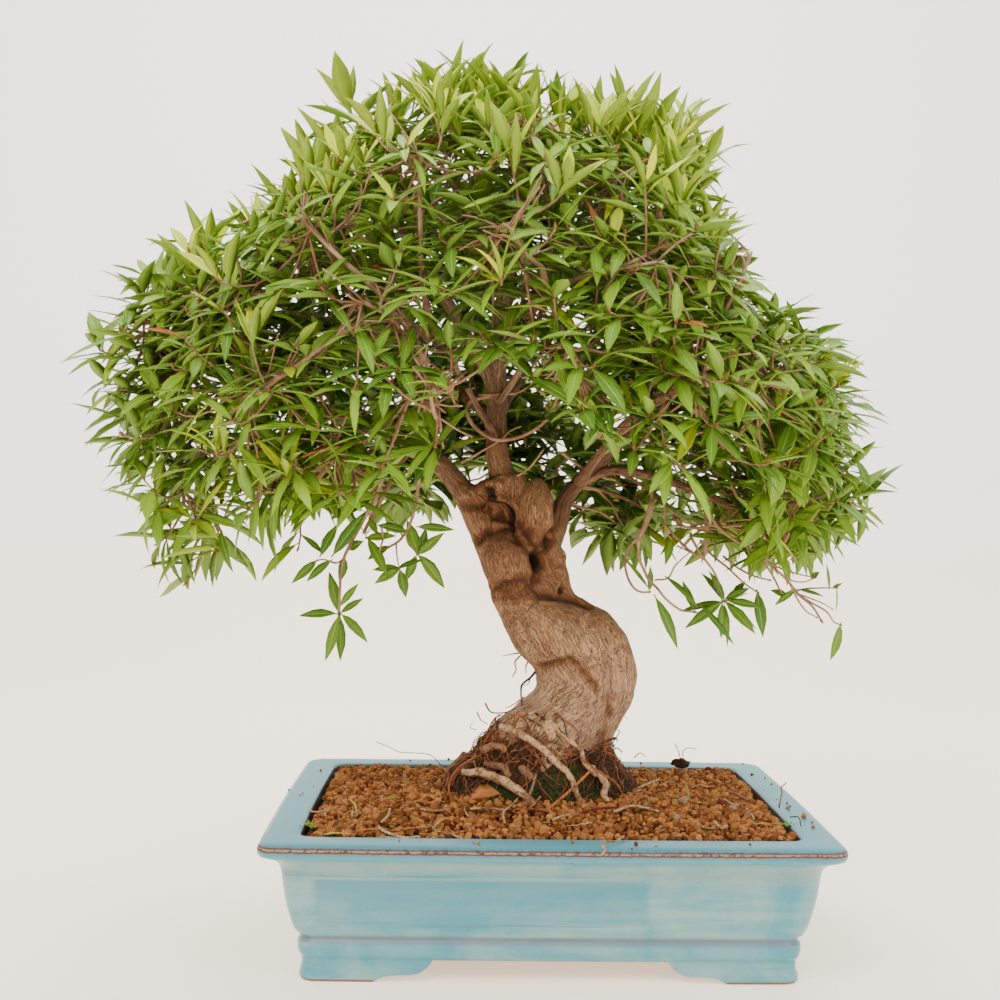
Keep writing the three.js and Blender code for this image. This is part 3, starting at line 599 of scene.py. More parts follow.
potShape = {
    "halves": (230, 170), "cornerRadius": 12, "cornerSteps": 8, "bow": 2.5,
    # [distance inside the rim's edge, height], up the outer wall
    "outer": [
        (34, 17.3), (31.4, 19.5), (30.5, 22), (29.9, 25), (29.7, 28), (30.1, 31), (31.6, 32.6), (32.2, 34),
        (31.2, 36), (28.4, 38.5), (26.4, 42), (24.6, 48), (23, 54), (21.5, 60), (20.3, 66), (19.3, 72),
        (18.5, 78), (17.8, 84), (17, 90), (15.4, 94.5), (12.4, 98.2), (8, 101.2), (3.6, 103), (1.1, 104.4),
        (0.1, 106.4), (0, 109.2), (0.4, 111.2), (1.4, 112.9), (3.2, 114.2), (5.8, 114.9),
    ],
    "inner": [(12, 115), (27.5, 115), (29.6, 114.6), (30.8, 113.6), (31.3, 111.8), (32, 96), (35, 28)],
    "panel": {"halves": (131, 78), "low": 47, "high": 86, "edge": 5, "depth": 1.1, "wallInset": 30},
    "wallReach": 36,
}
feetShape = {
    "outer": [(33.4, 0.6), (32.2, 0), (31.6, 1.2), (31.2, 3), (31.6, 6), (33, 11), (33, 21)], "thickness": 17,
    "footLength": (104, 78), "inset": 32.5, "skirt": 17.3, "cutterReach": 260,
    "arch": [(0, 17.3), (2, 13.5), (5, 10.6), (9, 8), (13, 6.5), (18, 5.9), (26, 5.7), (34, 5.2), (39, 4.2),
             (43, 2.4), (46.5, 0.6), (49, -1)],
}
drainShape = {"radius": 17, "x": 88}
potX, potY = potShape["halves"]


def outlinePlane(inset, height, straightCuts):
    plane = added(bpy.ops.mesh.primitive_plane_add, size=2, location=(0, 0, height * mm))
    plane.scale = ((potX - inset) * mm, (potY - inset) * mm, 1)
    bpy.ops.object.transform_apply(location=True, rotation=True, scale=True)
    edited(plane, bpy.ops.mesh.bevel, offset=potShape["cornerRadius"] * mm, segments=potShape["cornerSteps"],
           affect="VERTICES")
    selectEdges(plane, lambda run: run.length > 0.05)
    bpy.ops.mesh.subdivide(number_cuts=straightCuts)
    bpy.ops.mesh.select_mode(type="FACE")
    bpy.ops.mesh.select_all(action="SELECT")
    return plane


def pulledUp(profile, straightCuts=40):  # the outline, pulled through [inset, height] and closed
    (inset, height), *rest = profile
    piece = outlinePlane(inset, height, straightCuts)
    for nextInset, nextHeight in rest:
        bpy.ops.mesh.extrude_region_move(TRANSFORM_OT_translate={"value": (0, 0, (nextHeight - height) * mm)})
        ratioX = (potX - nextInset) / (potX - inset)
        ratioY = (potY - nextInset) / (potY - inset)
        bpy.ops.transform.resize(value=(ratioX, ratioY, 1), center_override=(0, 0, nextHeight * mm))
        inset, height = nextInset, nextHeight
    return closedShell(piece)


def closedShell(piece):
    edited(piece, bpy.ops.mesh.remove_doubles, threshold=1e-6)
    edited(piece, bpy.ops.mesh.normals_make_consistent, inside=False)
    return piece


def archCutter(halfOpening, alongX):
    points = [(-halfOpening - out, z) for out, z in reversed(feetShape["arch"])]
    points += [(halfOpening + out, z) for out, z in feetShape["arch"]]
    reach = feetShape["cutterReach"]
    sides = [[(x, y, z) if alongX else (y, x, z) for x, z in points] for y in (-reach, reach)]
    count = len(points)
    pile = Pile()
    pile.add(np.array(sides[0] + sides[1], float) - potMiddle / mm, [
        [list(range(count))], [list(range(2 * count - 1, count - 1, -1))],
        [[k, (k + 1) % count, (k + 1) % count + count, k + count][::-1] for k in range(count)],
    ])
    return closedShell(pile.mesh())


def cutBy(piece, cutters, operation="DIFFERENCE"):
    for cutter in cutters:
        applied(piece, "BOOLEAN", operation=operation, object=cutter, solver="EXACT")
        bpy.data.objects.remove(cutter)


def makePot():
    halves = np.array(potShape["halves"])
    body = pulledUp(potShape["outer"] + potShape["inner"])
    feet = pulledUp(feetShape["outer"])
    innerInset = feetShape["inset"] + feetShape["thickness"]
    hollow = pulledUp([(innerInset, -2), (innerInset, feetShape["skirt"])], 2)
    openX, openY = halves - feetShape["inset"] - feetShape["footLength"]
    cutBy(feet, [hollow, archCutter(openX, True), archCutter(openY, False)])
    cutBy(body, [feet], "UNION")
    for side in (-1, 1):
        drain = added(bpy.ops.mesh.primitive_cylinder_add, vertices=40, radius=drainShape["radius"] * mm,
                      depth=0.06, location=(side * drainShape["x"] * mm, 0, 0.02))
        cutBy(body, [drain])

    places = vertexArray(body) / mm
    panel = potShape["panel"]
    wall = potShape["wallReach"]
    outside = (np.abs(places[:, :2]) - (halves - wall)).max(1) > 0
    for axis, other in ((1, 0), (0, 1)):
        across = np.abs(places[:, axis])
        onSide = across > halves[axis] - wall - 1
        share = np.clip(places[:, other] / halves[other], -1, 1)
        bow = potShape["bow"] * (1 - share ** 2) * onSide
        rise = (smoothStep(panel["low"] - panel["edge"], panel["low"] + 1, places[:, 2])
                * smoothStep(panel["high"] + panel["edge"], panel["high"] - 1, places[:, 2])
                * smoothStep(panel["halves"][other] + panel["edge"], panel["halves"][other] - 2,
                             np.abs(places[:, other])))
        sunk = panel["depth"] * rise * onSide * outside * (halves[axis] - across < panel["wallInset"])
        places[:, axis] += np.sign(places[:, axis]) * (bow - sunk)
    heights = places[:, 2]
    radius = potShape["cornerRadius"]
    beyond = np.abs(places[:, :2]) - (halves - radius)
    edgeInset = radius - np.minimum(beyond.max(1), 0) - np.linalg.norm(np.maximum(beyond, 0), axis=1)
    footLine = smoothStep(2.2, 0.8, heights)
    underside = (heights < 17.8) & (edgeInset > wall)
    onRim = (heights > 114) & (edgeInset > 2)
    onLip = (heights > 100) & (edgeInset < 8)
    soiled = smoothStep(114.2, 112.8, heights) * (edgeInset > 27) * (heights > 60)
    setVertices(body, toMetres(places))
    addAttribute(body, "bare", "FLOAT", np.maximum(footLine, underside))
    addAttribute(body, "rim", "FLOAT_VECTOR", np.stack([onRim, onLip, soiled], -1))
    return finished(body, "glazed_tray", glaze, ["pot"], 38)


makePot()
print("pot made")


# The tree's lines, as in the frame: [x, y, z, radius]

trunkLine = [
    (0, 0, 74, 36), (-1, 0, 118, 52), (-3, 0, 148, 59), (1, 0, 166, 56), (12, -1, 184, 54),
    (25, -2, 200, 49), (35, -3, 216, 43), (34, -3, 233, 45), (24, -3, 250, 51), (16, -3, 266, 52),
    (6, -2, 282, 49), (-12, -2, 298, 37), (-16, -3, 318, 35), (-21, -4, 340, 33), (-24, -4, 362, 28),
    (-23, -3, 386, 19),
]
swellings = [
    (-11, -16, 371, 16, 17, 30), (-35, -17, 330, 22, 21, 24), (-68, -8, 387, 14, 11, 8),
    (-50, -13, 392, 15, 9, 9), (-30, -8, 393, 14, 12, 14), (-44, -15, 380, 16, 8, 7),
]
limbs = [
    [(-28, -3, 376, 17), (-41, -2, 402, 12.5), (-46, 0, 424, 10), (-47, 0, 471, 9), (-47, 0, 505, 8.6),
     (-42, 4, 560, 7.4), (-35, 5, 620, 5.6), (-26, 2, 672, 4)],
    [(-34, -2, 314, 20), (-50, -3, 345, 16), (-66, -4, 374, 12.5), (-80, -6, 394, 10), (-98, -8, 413, 8.5),
     (-135, -10, 435, 7), (-190, -12, 455, 6), (-250, -10, 475, 5), (-305, -5, 492, 4)],
    [(-6, 0, 334, 14), (7, 0, 355, 10), (18, 0, 386, 7), (37, 0, 405, 5.6), (62, 0, 431, 5),
     (86, 0, 457, 4.6), (115, 0, 500, 4.2), (135, 0, 548, 3.4)],
    [(24, 0, 394, 4.6), (56, -5, 409, 4), (108, -10, 400, 3.6), (158, -14, 380, 3.2), (190, -16, 358, 2.8)],
    [(76, 0, 446, 4.6), (92, 2, 458, 4.4), (130, 5, 470, 4.2), (185, 5, 475, 3.8), (222, 4, 462, 3.2)],
    [(-46, 0, 478, 8), (-62, 0, 506, 6.2), (-88, -4, 550, 5.6), (-122, -6, 600, 4.6), (-146, -5, 645, 3.6)],
    [(-47, 0, 498, 7), (-30, 0, 530, 6), (-8, 0, 568, 5.4), (25, -2, 612, 4.6), (58, -2, 654, 3.6)],
    [(-45, -2, 436, 6), (-58, -28, 452, 4.6), (-76, -70, 480, 4.2), (-96, -122, 505, 3.8),
     (-122, -165, 515, 3.4)],
    [(-46, -2, 468, 6), (-34, -36, 484, 4.8), (-22, -84, 504, 4.2), (-16, -140, 530, 3.8),
     (-14, -186, 540, 3.4)],
    [(26, 0, 396, 5), (40, -30, 418, 4.2), (60, -70, 446, 4), (88, -122, 468, 3.6), (106, -168, 476, 3.2)],
    [(-45, 2, 440, 8), (-58, 34, 462, 6.2), (-84, 78, 484, 5.6), (-116, 132, 496, 4.6),
     (-142, 176, 498, 3.6)],
    [(-46, 2, 462, 8), (-36, 40, 478, 6), (-26, 90, 494, 5.4), (-22, 146, 500, 4.4), (-20, 192, 496, 3.5)],
    [(-2, 6, 344, 11), (14, 26, 378, 7.4), (42, 62, 410, 6), (74, 110, 436, 5), (104, 154, 444, 3.8)],
]
limbShares = (0.6, 0.5, 0.6, 0, 0, 0, 0, 0, 0, 0, 0, 0, 0.3)  # how far each runs in the trunk's own skin
sprayTips = np.array([
    (-378, -9, 528), (-345, 12, 572), (-276, -17, 620), (-206, 10, 668), (-160, 3, 724), (-88, -10, 740),
    (-24, 5, 738), (58, 9, 720), (124, -5, 704), (136, 12, 640), (168, 0, 562), (236, 4, 516), (262, 10, 448),
    (276, 0, 388), (218, -21, 320), (132, -29, 308), (-364, -12, 458), (-340, 5, 374), (-258, -12, 376),
    (-176, -36, 308), (-292, -110, 540), (-206, -160, 600), (-112, -169, 646), (-22, -138, 690),
    (72, -131, 656), (-254, -160, 446), (-146, -203, 524), (-42, -215, 580), (64, -200, 560),
    (150, -141, 580),
    (196, -153, 470), (104, -213, 468), (6, -220, 480), (-96, -212, 442), (-190, -146, 384), (228, -98, 392),
    (-276, 126, 556), (-172, 167, 620), (-30, 158, 676), (84, 151, 650), (-244, 165, 450), (-62, 222, 536),
    (134, 169, 560), (204, 141, 462), (-30, 225, 430), (-150, 201, 398), (88, 175, 346), (208, 96, 362),
], float)
sprayNodes = [f"spray_{k + 1:02d}" for k in range(len(sprayTips))]


# Trunk and limbs: rings, lumps and tubes remeshed into one skin, then folded, cut and wrinkled

trunkShape = {
    "sides": 72, "rings": 84, "depth": 0.87, "flutes": 5, "fluteDepth": 0.05, "fluteTurn": 0.012,
    "voxel": 1.8,
    # creases on the front: a line of (x, z), its half width and its depth
    "creases": [
        ([(-14, 226), (-4, 236), (19, 245), (36, 228), (57, 196)], 3.0, 3.6),
        ([(19, 245), (24, 258), (32, 270), (44, 280)], 1.8, 1.5),
        ([(-54, 300), (-44, 305), (-22, 313), (-11, 300), (21, 295), (34, 290)], 4.5, 4.2),
        ([(-46, 380), (-36, 373), (-24, 360), (-14, 346), (-7, 340), (2, 352)], 4.0, 6.0),
        ([(-62, 344), (-55, 351), (-44, 357), (-36, 356), (-26, 345), (-15, 335)], 3.6, 6.5),
        ([(-57, 380), (-46, 369), (-33, 358)], 4.4, 8.0),
        ([(4, 376), (4, 358), (-1, 340), (-13, 329)], 3.2, 5.0),
        ([(-9, 338), (-8, 324), (-13, 312)], 4.5, 7.5),
        ([(-74, 376), (-64, 376), (-50, 374)], 4.0, 4.0),
        ([(0, 180), (20, 160), (44, 150)], 3.0, 2.0),
        ([(-30, 262), (-20, 246), (-12, 232)], 3.0, 1.6),
    ],
    # hollows on the front: (x, z, radius, depth)
    "hollows": [(-52, 387, 5.5, 10), (-9, 329, 6.0, 12), (-37, 368, 6.5, 13), (11.5, 303, 2.8, 3.5)],
    "knots": [(11.5, 303, 7.5, 2.4), (-43, 297, 7, 2.6), (-22, 293, 6, 2.4), (-33, 290, 6, 2.0),
              (-42, 398, 7, 2.4), (12, 333, 6, 2.4), (-74, 389, 7, 2.5), (6, 318, 6, 1.6), (62, 262, 5, 1.0)],
    # rusty bark on the front: (x, z, half width, half height, share)
    "rust": [(-30, 304, 26, 13, 0.62), (-36, 334, 22, 18, 0.45), (-14, 352, 16, 14, 0.5),
             (4, 320, 14, 20, 0.45), (20, 282, 16, 10, 0.42), (-60, 392, 20, 14, 0.5)],
}
limbShape = {"ring": 6, "sides": 10, "overlap": 0.06, "knobs": 0.07, "youth": 0.8, "slim": {7: 0.6, 8: 0.62}}


def trunkRings():
    sides, count = trunkShape["sides"], trunkShape["rings"]
    path, radii = pathOf(trunkLine, np.linspace(0, 1, count))
    angles = np.arange(sides) * 2 * math.pi / sides
    turn = trunkShape["flutes"] * angles[None] + trunkShape["fluteTurn"] * path[:, 2:3]
    reach = radii[:, None] * (1 + trunkShape["fluteDepth"] * np.sin(turn))
    x = path[:, :1] + reach * np.cos(angles)
    y = path[:, 1:2] + reach * np.sin(angles) * trunkShape["depth"]
    points = np.stack([x, y, np.broadcast_to(path[:, 2:3], reach.shape)], -1).reshape(-1, 3)
    caps = [[list(range(sides))[::-1]], [list(range((count - 1) * sides, count * sides))]]
    return points, [ringQuads(count, sides), *caps]


def nearestAxis(points):
    best = np.full(len(points), 1e9)
    grain = np.zeros((len(points), 3))
    slim = np.zeros(len(points))
    for line in (trunkLine, *limbs):
        path, radii = pathOf(line, np.linspace(0, 1, 60))
        tangents, normals, binormals = framesAlong(path)
        lengths = lengthsAlong(path)
        apart = np.linalg.norm(points[:, None] - path[None], axis=2) - radii[None]
        nearest = apart.argmin(1)
        gap = apart[np.arange(len(points)), nearest]
        closer = gap < best
        pick = nearest[closer]
        offset = points[closer] - path[pick]
        grain[closer] = np.stack([(offset * normals[pick]).sum(1), (offset * binormals[pick]).sum(1),
                                  lengths[pick] + (offset * tangents[pick]).sum(1)], -1)
        slim[closer] = 0 if line is trunkLine else smoothStep(15, 8, radii[pick])
        best[closer] = gap[closer]
    return grain, slim


def noiseOf(points, seed=0):
    shift = Vector((seed, seed * 1.7, -seed))
    return np.array([noise.noise(Vector(point) + shift) for point in points])


def treeOf(piece):
    bpy.context.view_layer.update()
    return BVHTree.FromObject(piece, bpy.context.evaluated_depsgraph_get())


def onFront(tree, places):  # each (x, z, and more) where the skin's front shows it, with the rest
    for x, z, *rest in places:
        hit = tree.ray_cast(Vector(toMetres([x, -400, z])), Vector((0, 1, 0)))[0]
        if hit is not None:
            yield (toDrawing(hit), *rest)


def distanceToLine(points, line):
    best = np.full(len(points), 1e9)
    for a, b in zip(line[:-1], line[1:]):
        run = b - a
        share = np.clip((points - a) @ run / max(run @ run, 1e-9), 0, 1)
        best = np.minimum(best, np.linalg.norm(points - a - share[:, None] * run, axis=1))
    return best


def trunkSkin():
    pile = Pile()
    pile.add(*trunkRings())
    for line, inSkin in zip(limbs, limbShares):
        if inSkin > 0:
            path, radii = pathOf(line, np.linspace(0, inSkin, 4 * len(line)))
            pile.add(*tube(path, radii * 1.02, 16)[:2])
    trunk = pile.mesh()
    lumps = []
    for x, y, z, *halves in swellings:
        lumps.append(added(bpy.ops.mesh.primitive_uv_sphere_add, segments=40, ring_count=24,
                           location=toMetres([x, y, z])))
        lumps[-1].scale = np.array(halves) * mm
    joined(trunk, lumps)
    applied(trunk, "REMESH", mode="VOXEL", voxel_size=trunkShape["voxel"] * mm)
    applied(trunk, "SMOOTH", factor=0.5, iterations=6)
    return trunk


def makeTrunk():
    trunk = trunkSkin()
    tree = treeOf(trunk)
    points = toDrawing(vertexArray(trunk))
    normals = asArray(trunk.data.vertex_normals, "vector")
    grain, slim = nearestAxis(points)
    thick = 1 - slim
    push = (1.5 * noiseOf(grain * (0.1, 0.1, 0.018), 3) + 1.5 * noiseOf(points * 0.055, 9)) * thick
    fine = 0.55 * noiseOf(grain * (0.34, 0.34, 0.035), 5) + 0.35 * noiseOf(points * 0.21, 1)
    push += fine * (0.5 + 0.5 * thick)
    push += 0.7 * np.abs(noiseOf(grain * (0.19, 0.19, 0.03), 21)) * thick
    fold = np.zeros(len(points))
    # creases are sunk and marked with rust, which turns to near-black painted shade where they are deepest
    for line, halfWidth, depth in trunkShape["creases"]:
        spots = np.array([spot for (spot,) in onFront(tree, line)])
        apart = np.maximum(distanceToLine(points, spots) + 1.6 * noiseOf(points * 0.16, 31), 0)
        push -= depth * np.exp(-(apart / halfWidth) ** 2)
        fold = np.maximum(fold, 0.9 * np.exp(-(apart / (1.7 * halfWidth)) ** 2) * min(1, depth / 4))
    # hollows are sunk and marked with near-black painted shade
    for spot, radius, depth in onFront(tree, trunkShape["hollows"]):
        apart = np.linalg.norm((points - spot) * (1, 0.6, 0.75), axis=1)
        push -= depth * np.exp(-(apart / radius) ** 4)
        fold = np.maximum(fold, 1.15 * np.exp(-(apart / (radius * 1.25)) ** 4))
    for spot, radius, rise in onFront(tree, trunkShape["knots"]):
        apart = np.linalg.norm(points - spot, axis=1)
        push += rise * np.exp(-((apart - radius * 0.6) / (radius * 0.45)) ** 2)
    for x, z, halfX, halfZ, share in trunkShape["rust"]:
        apart = np.hypot((points[:, 0] - x) / halfX, (points[:, 2] - z) / halfZ)
        apart += 0.5 * noiseOf(points * 0.09, 51)
        fold = np.maximum(fold, share * smoothStep(1.25, 0.5, apart) * smoothStep(12, -6, points[:, 1]))
    fold = np.maximum(fold, 0.55 * smoothStep(0.25, 0.6, noiseOf(points * (0.03, 0.03, 0.045), 77)) * thick)
    # painted shade on the left and back of the trunk, under the limbs, given as dark rust
    fold = np.maximum(fold, 0.7 * smoothStep(-20, -46, points[:, 0]) * smoothStep(395, 330, points[:, 2])
                      * smoothStep(290, 330, points[:, 2]) * smoothStep(-8, 12, points[:, 1]))
    setVertices(trunk, toMetres(points + normals * push[:, None]))
    addAttribute(trunk, "grain", "FLOAT_VECTOR", grain)
    addAttribute(trunk, "marks", "FLOAT_VECTOR", np.stack([np.clip(fold, 0, 1), slim, 0 * slim], -1))
    return finished(trunk, "trunk_and_limbs", bark, ["trunk"])


def makeLimbs():
    pile = Pile()
    for index, (line, inSkin) in enumerate(zip(limbs, limbShares)):
        start = max(inSkin - limbShape["overlap"], 0)
        reach = np.linalg.norm(np.diff([knot[:3] for knot in line], axis=0), axis=1).sum() * (1 - start)
        path, radii = pathOf(line, np.linspace(start, 1, int(reach / limbShape["ring"])))
        radii *= limbShape["slim"].get(index, 1)
        knobs = np.array([swing(1, 20, index, k // 2) for k in range(len(radii))])
        addTube(pile, path, radii * (1 + limbShape["knobs"] * knobs), limbShape["sides"],
                marks=(0, limbShape["youth"], 0))
    return finished(pile.mesh(), "limbs", bark, ["trunk"])


trunk = makeTrunk()
makeLimbs()
print("trunk made", len(trunk.data.polygons))


# Mound: the lump of old soil and fine roots under the trunk

moundShape = {
    "middle": (-3, -1), "sides": 110, "rings": 64, "dome": 7, "sink": 2.0,
    "lumps": [(5.0, 0.035, 4), (3.2, 0.1, 6), (1.5, 0.27, 8)],  # rise, scale and seed
    # [height, half length, half width]
    "levels": [(46, 70, 48), (100, 91, 66), (122, 91, 66), (138, 82, 60), (150, 72, 55.5), (160, 63.5, 52),
               (168, 56, 48), (175, 44, 40)],
    "mossSpots": [(-38, -56, 128, 24), (18, -62, 132, 30), (50, -54, 126, 22), (-66, -34, 128, 12),
                  (76, -30, 122, 12), (-6, -60, 140, 16)],
}


def mossAt(points):
    moss = np.zeros(len(points))
    for x, y, z, size in moundShape["mossSpots"]:
        moss = np.maximum(moss, np.exp(-(np.linalg.norm(points - (x, y, z), axis=1) / size) ** 2))
    return moss


def makeMound():
    mound = added(bpy.ops.mesh.primitive_cylinder_add, vertices=moundShape["sides"], radius=1, depth=1,
                  end_fill_type="TRIFAN")
    selectEdges(mound, lambda run: abs(run.z) > 0.5)
    bpy.ops.mesh.subdivide_edgering(number_cuts=moundShape["rings"], interpolation="LINEAR")
    bpy.ops.object.mode_set(mode="OBJECT")
    places = vertexArray(mound)
    heights, halfX, halfY = np.array(moundShape["levels"], float).T
    share = places[:, 2] + 0.5
    level = heights[0] + (heights[-1] - heights[0]) * share
    level += moundShape["dome"] * (share > 0.999) * (1 - np.linalg.norm(places[:, :2], axis=1))
    x = moundShape["middle"][0] + places[:, 0] * np.interp(level, heights, halfX)
    y = moundShape["middle"][1] + places[:, 1] * np.interp(level, heights, halfY)
    points = np.stack([x, y, level], -1)
    outward = unit(np.stack([places[:, 0] / 80, places[:, 1] / 56, 0.004 + 0.01 * share], -1))
    push = sum(rise * noiseOf(points * scale, seed) for rise, scale, seed in moundShape["lumps"])
    points += outward * (push - moundShape["sink"])[:, None] * smoothStep(60, 100, level)[:, None]
    setVertices(mound, toMetres(points))
    addAttribute(mound, "moss", "FLOAT", mossAt(points))
    return finished(mound, "mound", moundSkin, ["root_ball"])


mound = makeMound()
print("mound made")


# Roots over the mound: each walks down the surface it finds, and thick pale ones come first

rootColours = {
    "pale": (0.62, 0.36, 0.18), "tan": (0.28, 0.13, 0.06), "red": (0.34, 0.09, 0.027),
    "orange": (0.5, 0.155, 0.034), "dark": (0.05, 0.02, 0.012), "wine": (0.13, 0.012, 0.014),
    "straw": (0.52, 0.32, 0.135), "white": (0.64, 0.5, 0.32), "yellow": (0.6, 0.42, 0.04),
    "blade": (0.3, 0.36, 0.07),
}


def groundTree():
    bpy.context.view_layer.update()
    points = []
    faces = []
    for piece in (mound, trunk):
        first = len(points)
        points += [vertex.co.copy() for vertex in piece.data.vertices]
        faces += [[first + k for k in polygon.vertices] for polygon in piece.data.polygons]
    return BVHTree.FromPolygons(points, faces)


ground = groundTree()


def onGround(point, lift):
    spot, normal = ground.find_nearest(Vector(toMetres(point)))[:2]
    outward = np.array(normal)
    return toDrawing(spot) + outward * lift, outward


def addRoot(pile, path, radii, tone, sides, pointed=True, shade=1.0):
    addTube(pile, path, radii, sides, pointed, hue=(*(np.array(rootColours[tone]) * shade), 1.0))


thickRoots = [
    # knots near the surface, colour, and how far each stands off
    ([(-45, -36, 187, 2.6), (-33, -43, 183.5, 3.2), (-20, -49, 178, 3.2), (-8, -53, 171.5, 3.1),
      (3, -56, 163, 3.0),
      (12, -58, 154.5, 2.9), (20, -60, 148, 2.7), (25, -62, 137, 2.6), (31, -64, 121, 2.2),
      (34, -65, 112, 2)], "pale", 0.8),
    ([(-74, -40, 146, 2.8), (-60, -48, 149, 3.8), (-42, -56, 144, 4.1), (-26, -61, 136, 3.8),
      (-12, -66, 126, 3.0), (2, -70, 116, 2.2)], "pale", 0.8),
    ([(2, -40, 188, 6.0), (3, -50, 183, 4.6), (2, -56, 178, 3.6)], "pale", 0.5),
    ([(6, -46, 188, 2.0), (18, -50, 177, 2.3), (27, -53, 170, 2.1), (36, -54, 163, 1.9), (45, -55, 151, 2.1)],
     "pale", 0.8),
    ([(42, -52, 155, 2.6), (48, -56, 146, 3.2), (54, -58, 132, 2.8), (58, -60, 118, 2.0)], "pale", 0.6),
    ([(-60, -34, 166, 3.0), (-50, -42, 170, 3.4), (-36, -48, 168, 2.8)], "tan", 0),
    ([(-54, -40, 156, 2.6), (-44, -52, 154, 3.4), (-34, -58, 149, 3.0)], "tan", -0.3),
    ([(-24, -54, 156, 2.8), (-17, -60, 152, 4.2), (-11, -62, 147, 3.0)], "tan", -0.3),
    ([(-70, 12, 150, 4), (-86, 22, 132, 3.4), (-98, 30, 112, 2.6)], "tan", 0.5),
    ([(60, 20, 150, 4), (78, 28, 130, 3.4), (92, 34, 112, 2.6)], "tan", 0.5),
    ([(10, 50, 160, 5), (6, 62, 142, 4), (-4, 72, 112, 3)], "pale", 0.5),
]


def makeThickRoots():
    pile = Pile()
    for index, (line, tone, lift) in enumerate(thickRoots):
        path, radii = pathOf(line, np.linspace(0, 1, 9 * len(line)))
        for k, point in enumerate(path):
            path[k] = point * 0.25 + onGround(point, radii[k] * lift)[0] * 0.75
        for _ in range(4):
            path[1:-1] = (path[:-2] + 2 * path[1:-1] + path[2:]) / 4
        knobs = 1 + 0.1 * np.array([swing(1, 90, index, k) for k in range(len(path))])
        addRoot(pile, path, radii * knobs, tone, 14, False)
    return finished(pile.mesh(), "thick_roots", fibreSkin, ["trunk"])


fineRootShape = {
    "count": 520, "steps": 18, "stride": 5.2, "frontShare": 0.62, "frontTurn": 1.25, "lowShare": 0.7,
    "low": (128, 176), "high": (150, 192), "lowest": 108, "radius": (0.34, 1.02),
    "heights": (120, 150, 170, 190), "spreads": (84, 62, 46, 38),
    "tones": ("red", "red", "orange", "tan", "dark", "dark", "red", "tan"), "shade": (0.6, 1.25),
}
looseRoots = [
    # the ones that stand clear at the front
    ([(-6, -66, 131, 0.9), (-14, -74, 124, 1), (-28, -78, 118, 1), (-44, -80, 115, 0.8)], "orange"),
    ([(36, -58, 151, 1.2), (24, -66, 141, 1.3), (8, -75, 129, 1.3), (-8, -83, 118, 1.1)], "orange"),
    ([(18, -83, 117, 0.8), (34, -84, 124, 1.0), (52, -82, 126, 1.0), (74, -76, 125, 0.9),
      (92, -66, 122, 0.7)], "wine"),
    ([(-36, -80, 120, 0.8), (-20, -84, 124, 1.0), (-4, -86, 123, 1.0), (8, -85, 117, 0.9)], "wine"),
    ([(-10, -66, 150, 1.2), (-14, -72, 138, 1.2), (-20, -76, 126, 1.1), (-30, -80, 116, 1)], "tan"),
    ([(30, -56, 160, 0.9), (46, -60, 150, 0.9), (60, -58, 140, 0.8), (70, -60, 122, 0.8)], "red"),
    ([(-60, -40, 160, 0.9), (-76, -46, 150, 0.9), (-84, -50, 136, 0.8), (-78, -60, 118, 0.8)], "red"),
]


def walkRoot(index):
    shape = fineRootShape
    angle = between(0, 2 * math.pi, 100, index)
    if draw(101, index) < shape["frontShare"]:
        angle = -math.pi / 2 + swing(shape["frontTurn"], 102, index)
    isLow = draw(104, index) < shape["lowShare"]
    height = between(*shape["low"], 103, index) if isLow else between(*shape["high"], 105, index)
    spread = np.interp(height, shape["heights"], shape["spreads"])
    cosine, sine = math.cos(angle), math.sin(angle)
    point = np.array([moundShape["middle"][0] + spread * cosine, spread * 0.8 * sine, height])
    around = np.array([-sine, cosine, 0]) * swing(1.9, 106, index)
    way = unit(around + np.array([0.35 * cosine, 0.35 * sine, -0.55]))
    radius = between(*shape["radius"], 107, index) ** 1.7
    path = []
    for step in range(int(between(6, shape["steps"], 108, index))):
        lift = radius + 0.4 + 3.2 * max(0, between(-1.2, 1, 109, index, step // 3))
        settled, outward = onGround(point, lift)
        isMossy = mossAt(settled[None])[0] > 0.45 and draw(115, index) < 0.72
        if settled[2] < shape["lowest"] or isMossy:
            break
        path.append(settled)
        key = (index, step)
        wander = [swing(0.42, 110, *key), swing(0.42, 111, *key), between(-0.5, 0.28, 112, *key)]
        way = unit(way - outward * (way @ outward) + wander)
        point = settled + way * shape["stride"]
    return path, radius


def makeFineRoots():
    pile = Pile()
    tones = fineRootShape["tones"]
    for index in range(fineRootShape["count"]):
        path, radius = walkRoot(index)
        if len(path) < 4:
            continue
        path = smoothLine(path, np.linspace(0, 1, int(1.5 * len(path))))
        tone = tones[int(draw(113, index) * len(tones))]
        shade = between(*fineRootShape["shade"], 114, index)
        addRoot(pile, path, np.linspace(radius, radius * 0.45, len(path)), tone, 4, shade=shade)
    for line, tone in looseRoots:
        addRoot(pile, *pathOf(line, np.linspace(0, 1, 22)), tone, 7)
    return finished(pile.mesh(), "fine_roots", fibreSkin, ["root_ball"])


makeThickRoots()
makeFineRoots()
print("roots made")


# Soil: a dark bed under thousands of clay granules

soilShape = {
    "halves": (197.4, 137.4), "corner": 9, "wallHeight": 110.6, "crownRise": 9, "wallRise": 1.8, "pitch": 5.9,
    "size": (2.2, 5.6), "heap": 5, "fineCount": 800, "fineSize": (1.0, 2.6), "variants": 12, "rowShare": 0.86,
    "jitter": 1.9, "levels": (-1.6, 1.8), "fineLevels": (1.5, 4.2), "granuleHalf": 1.9,
}
soilX, soilY = soilShape["halves"]


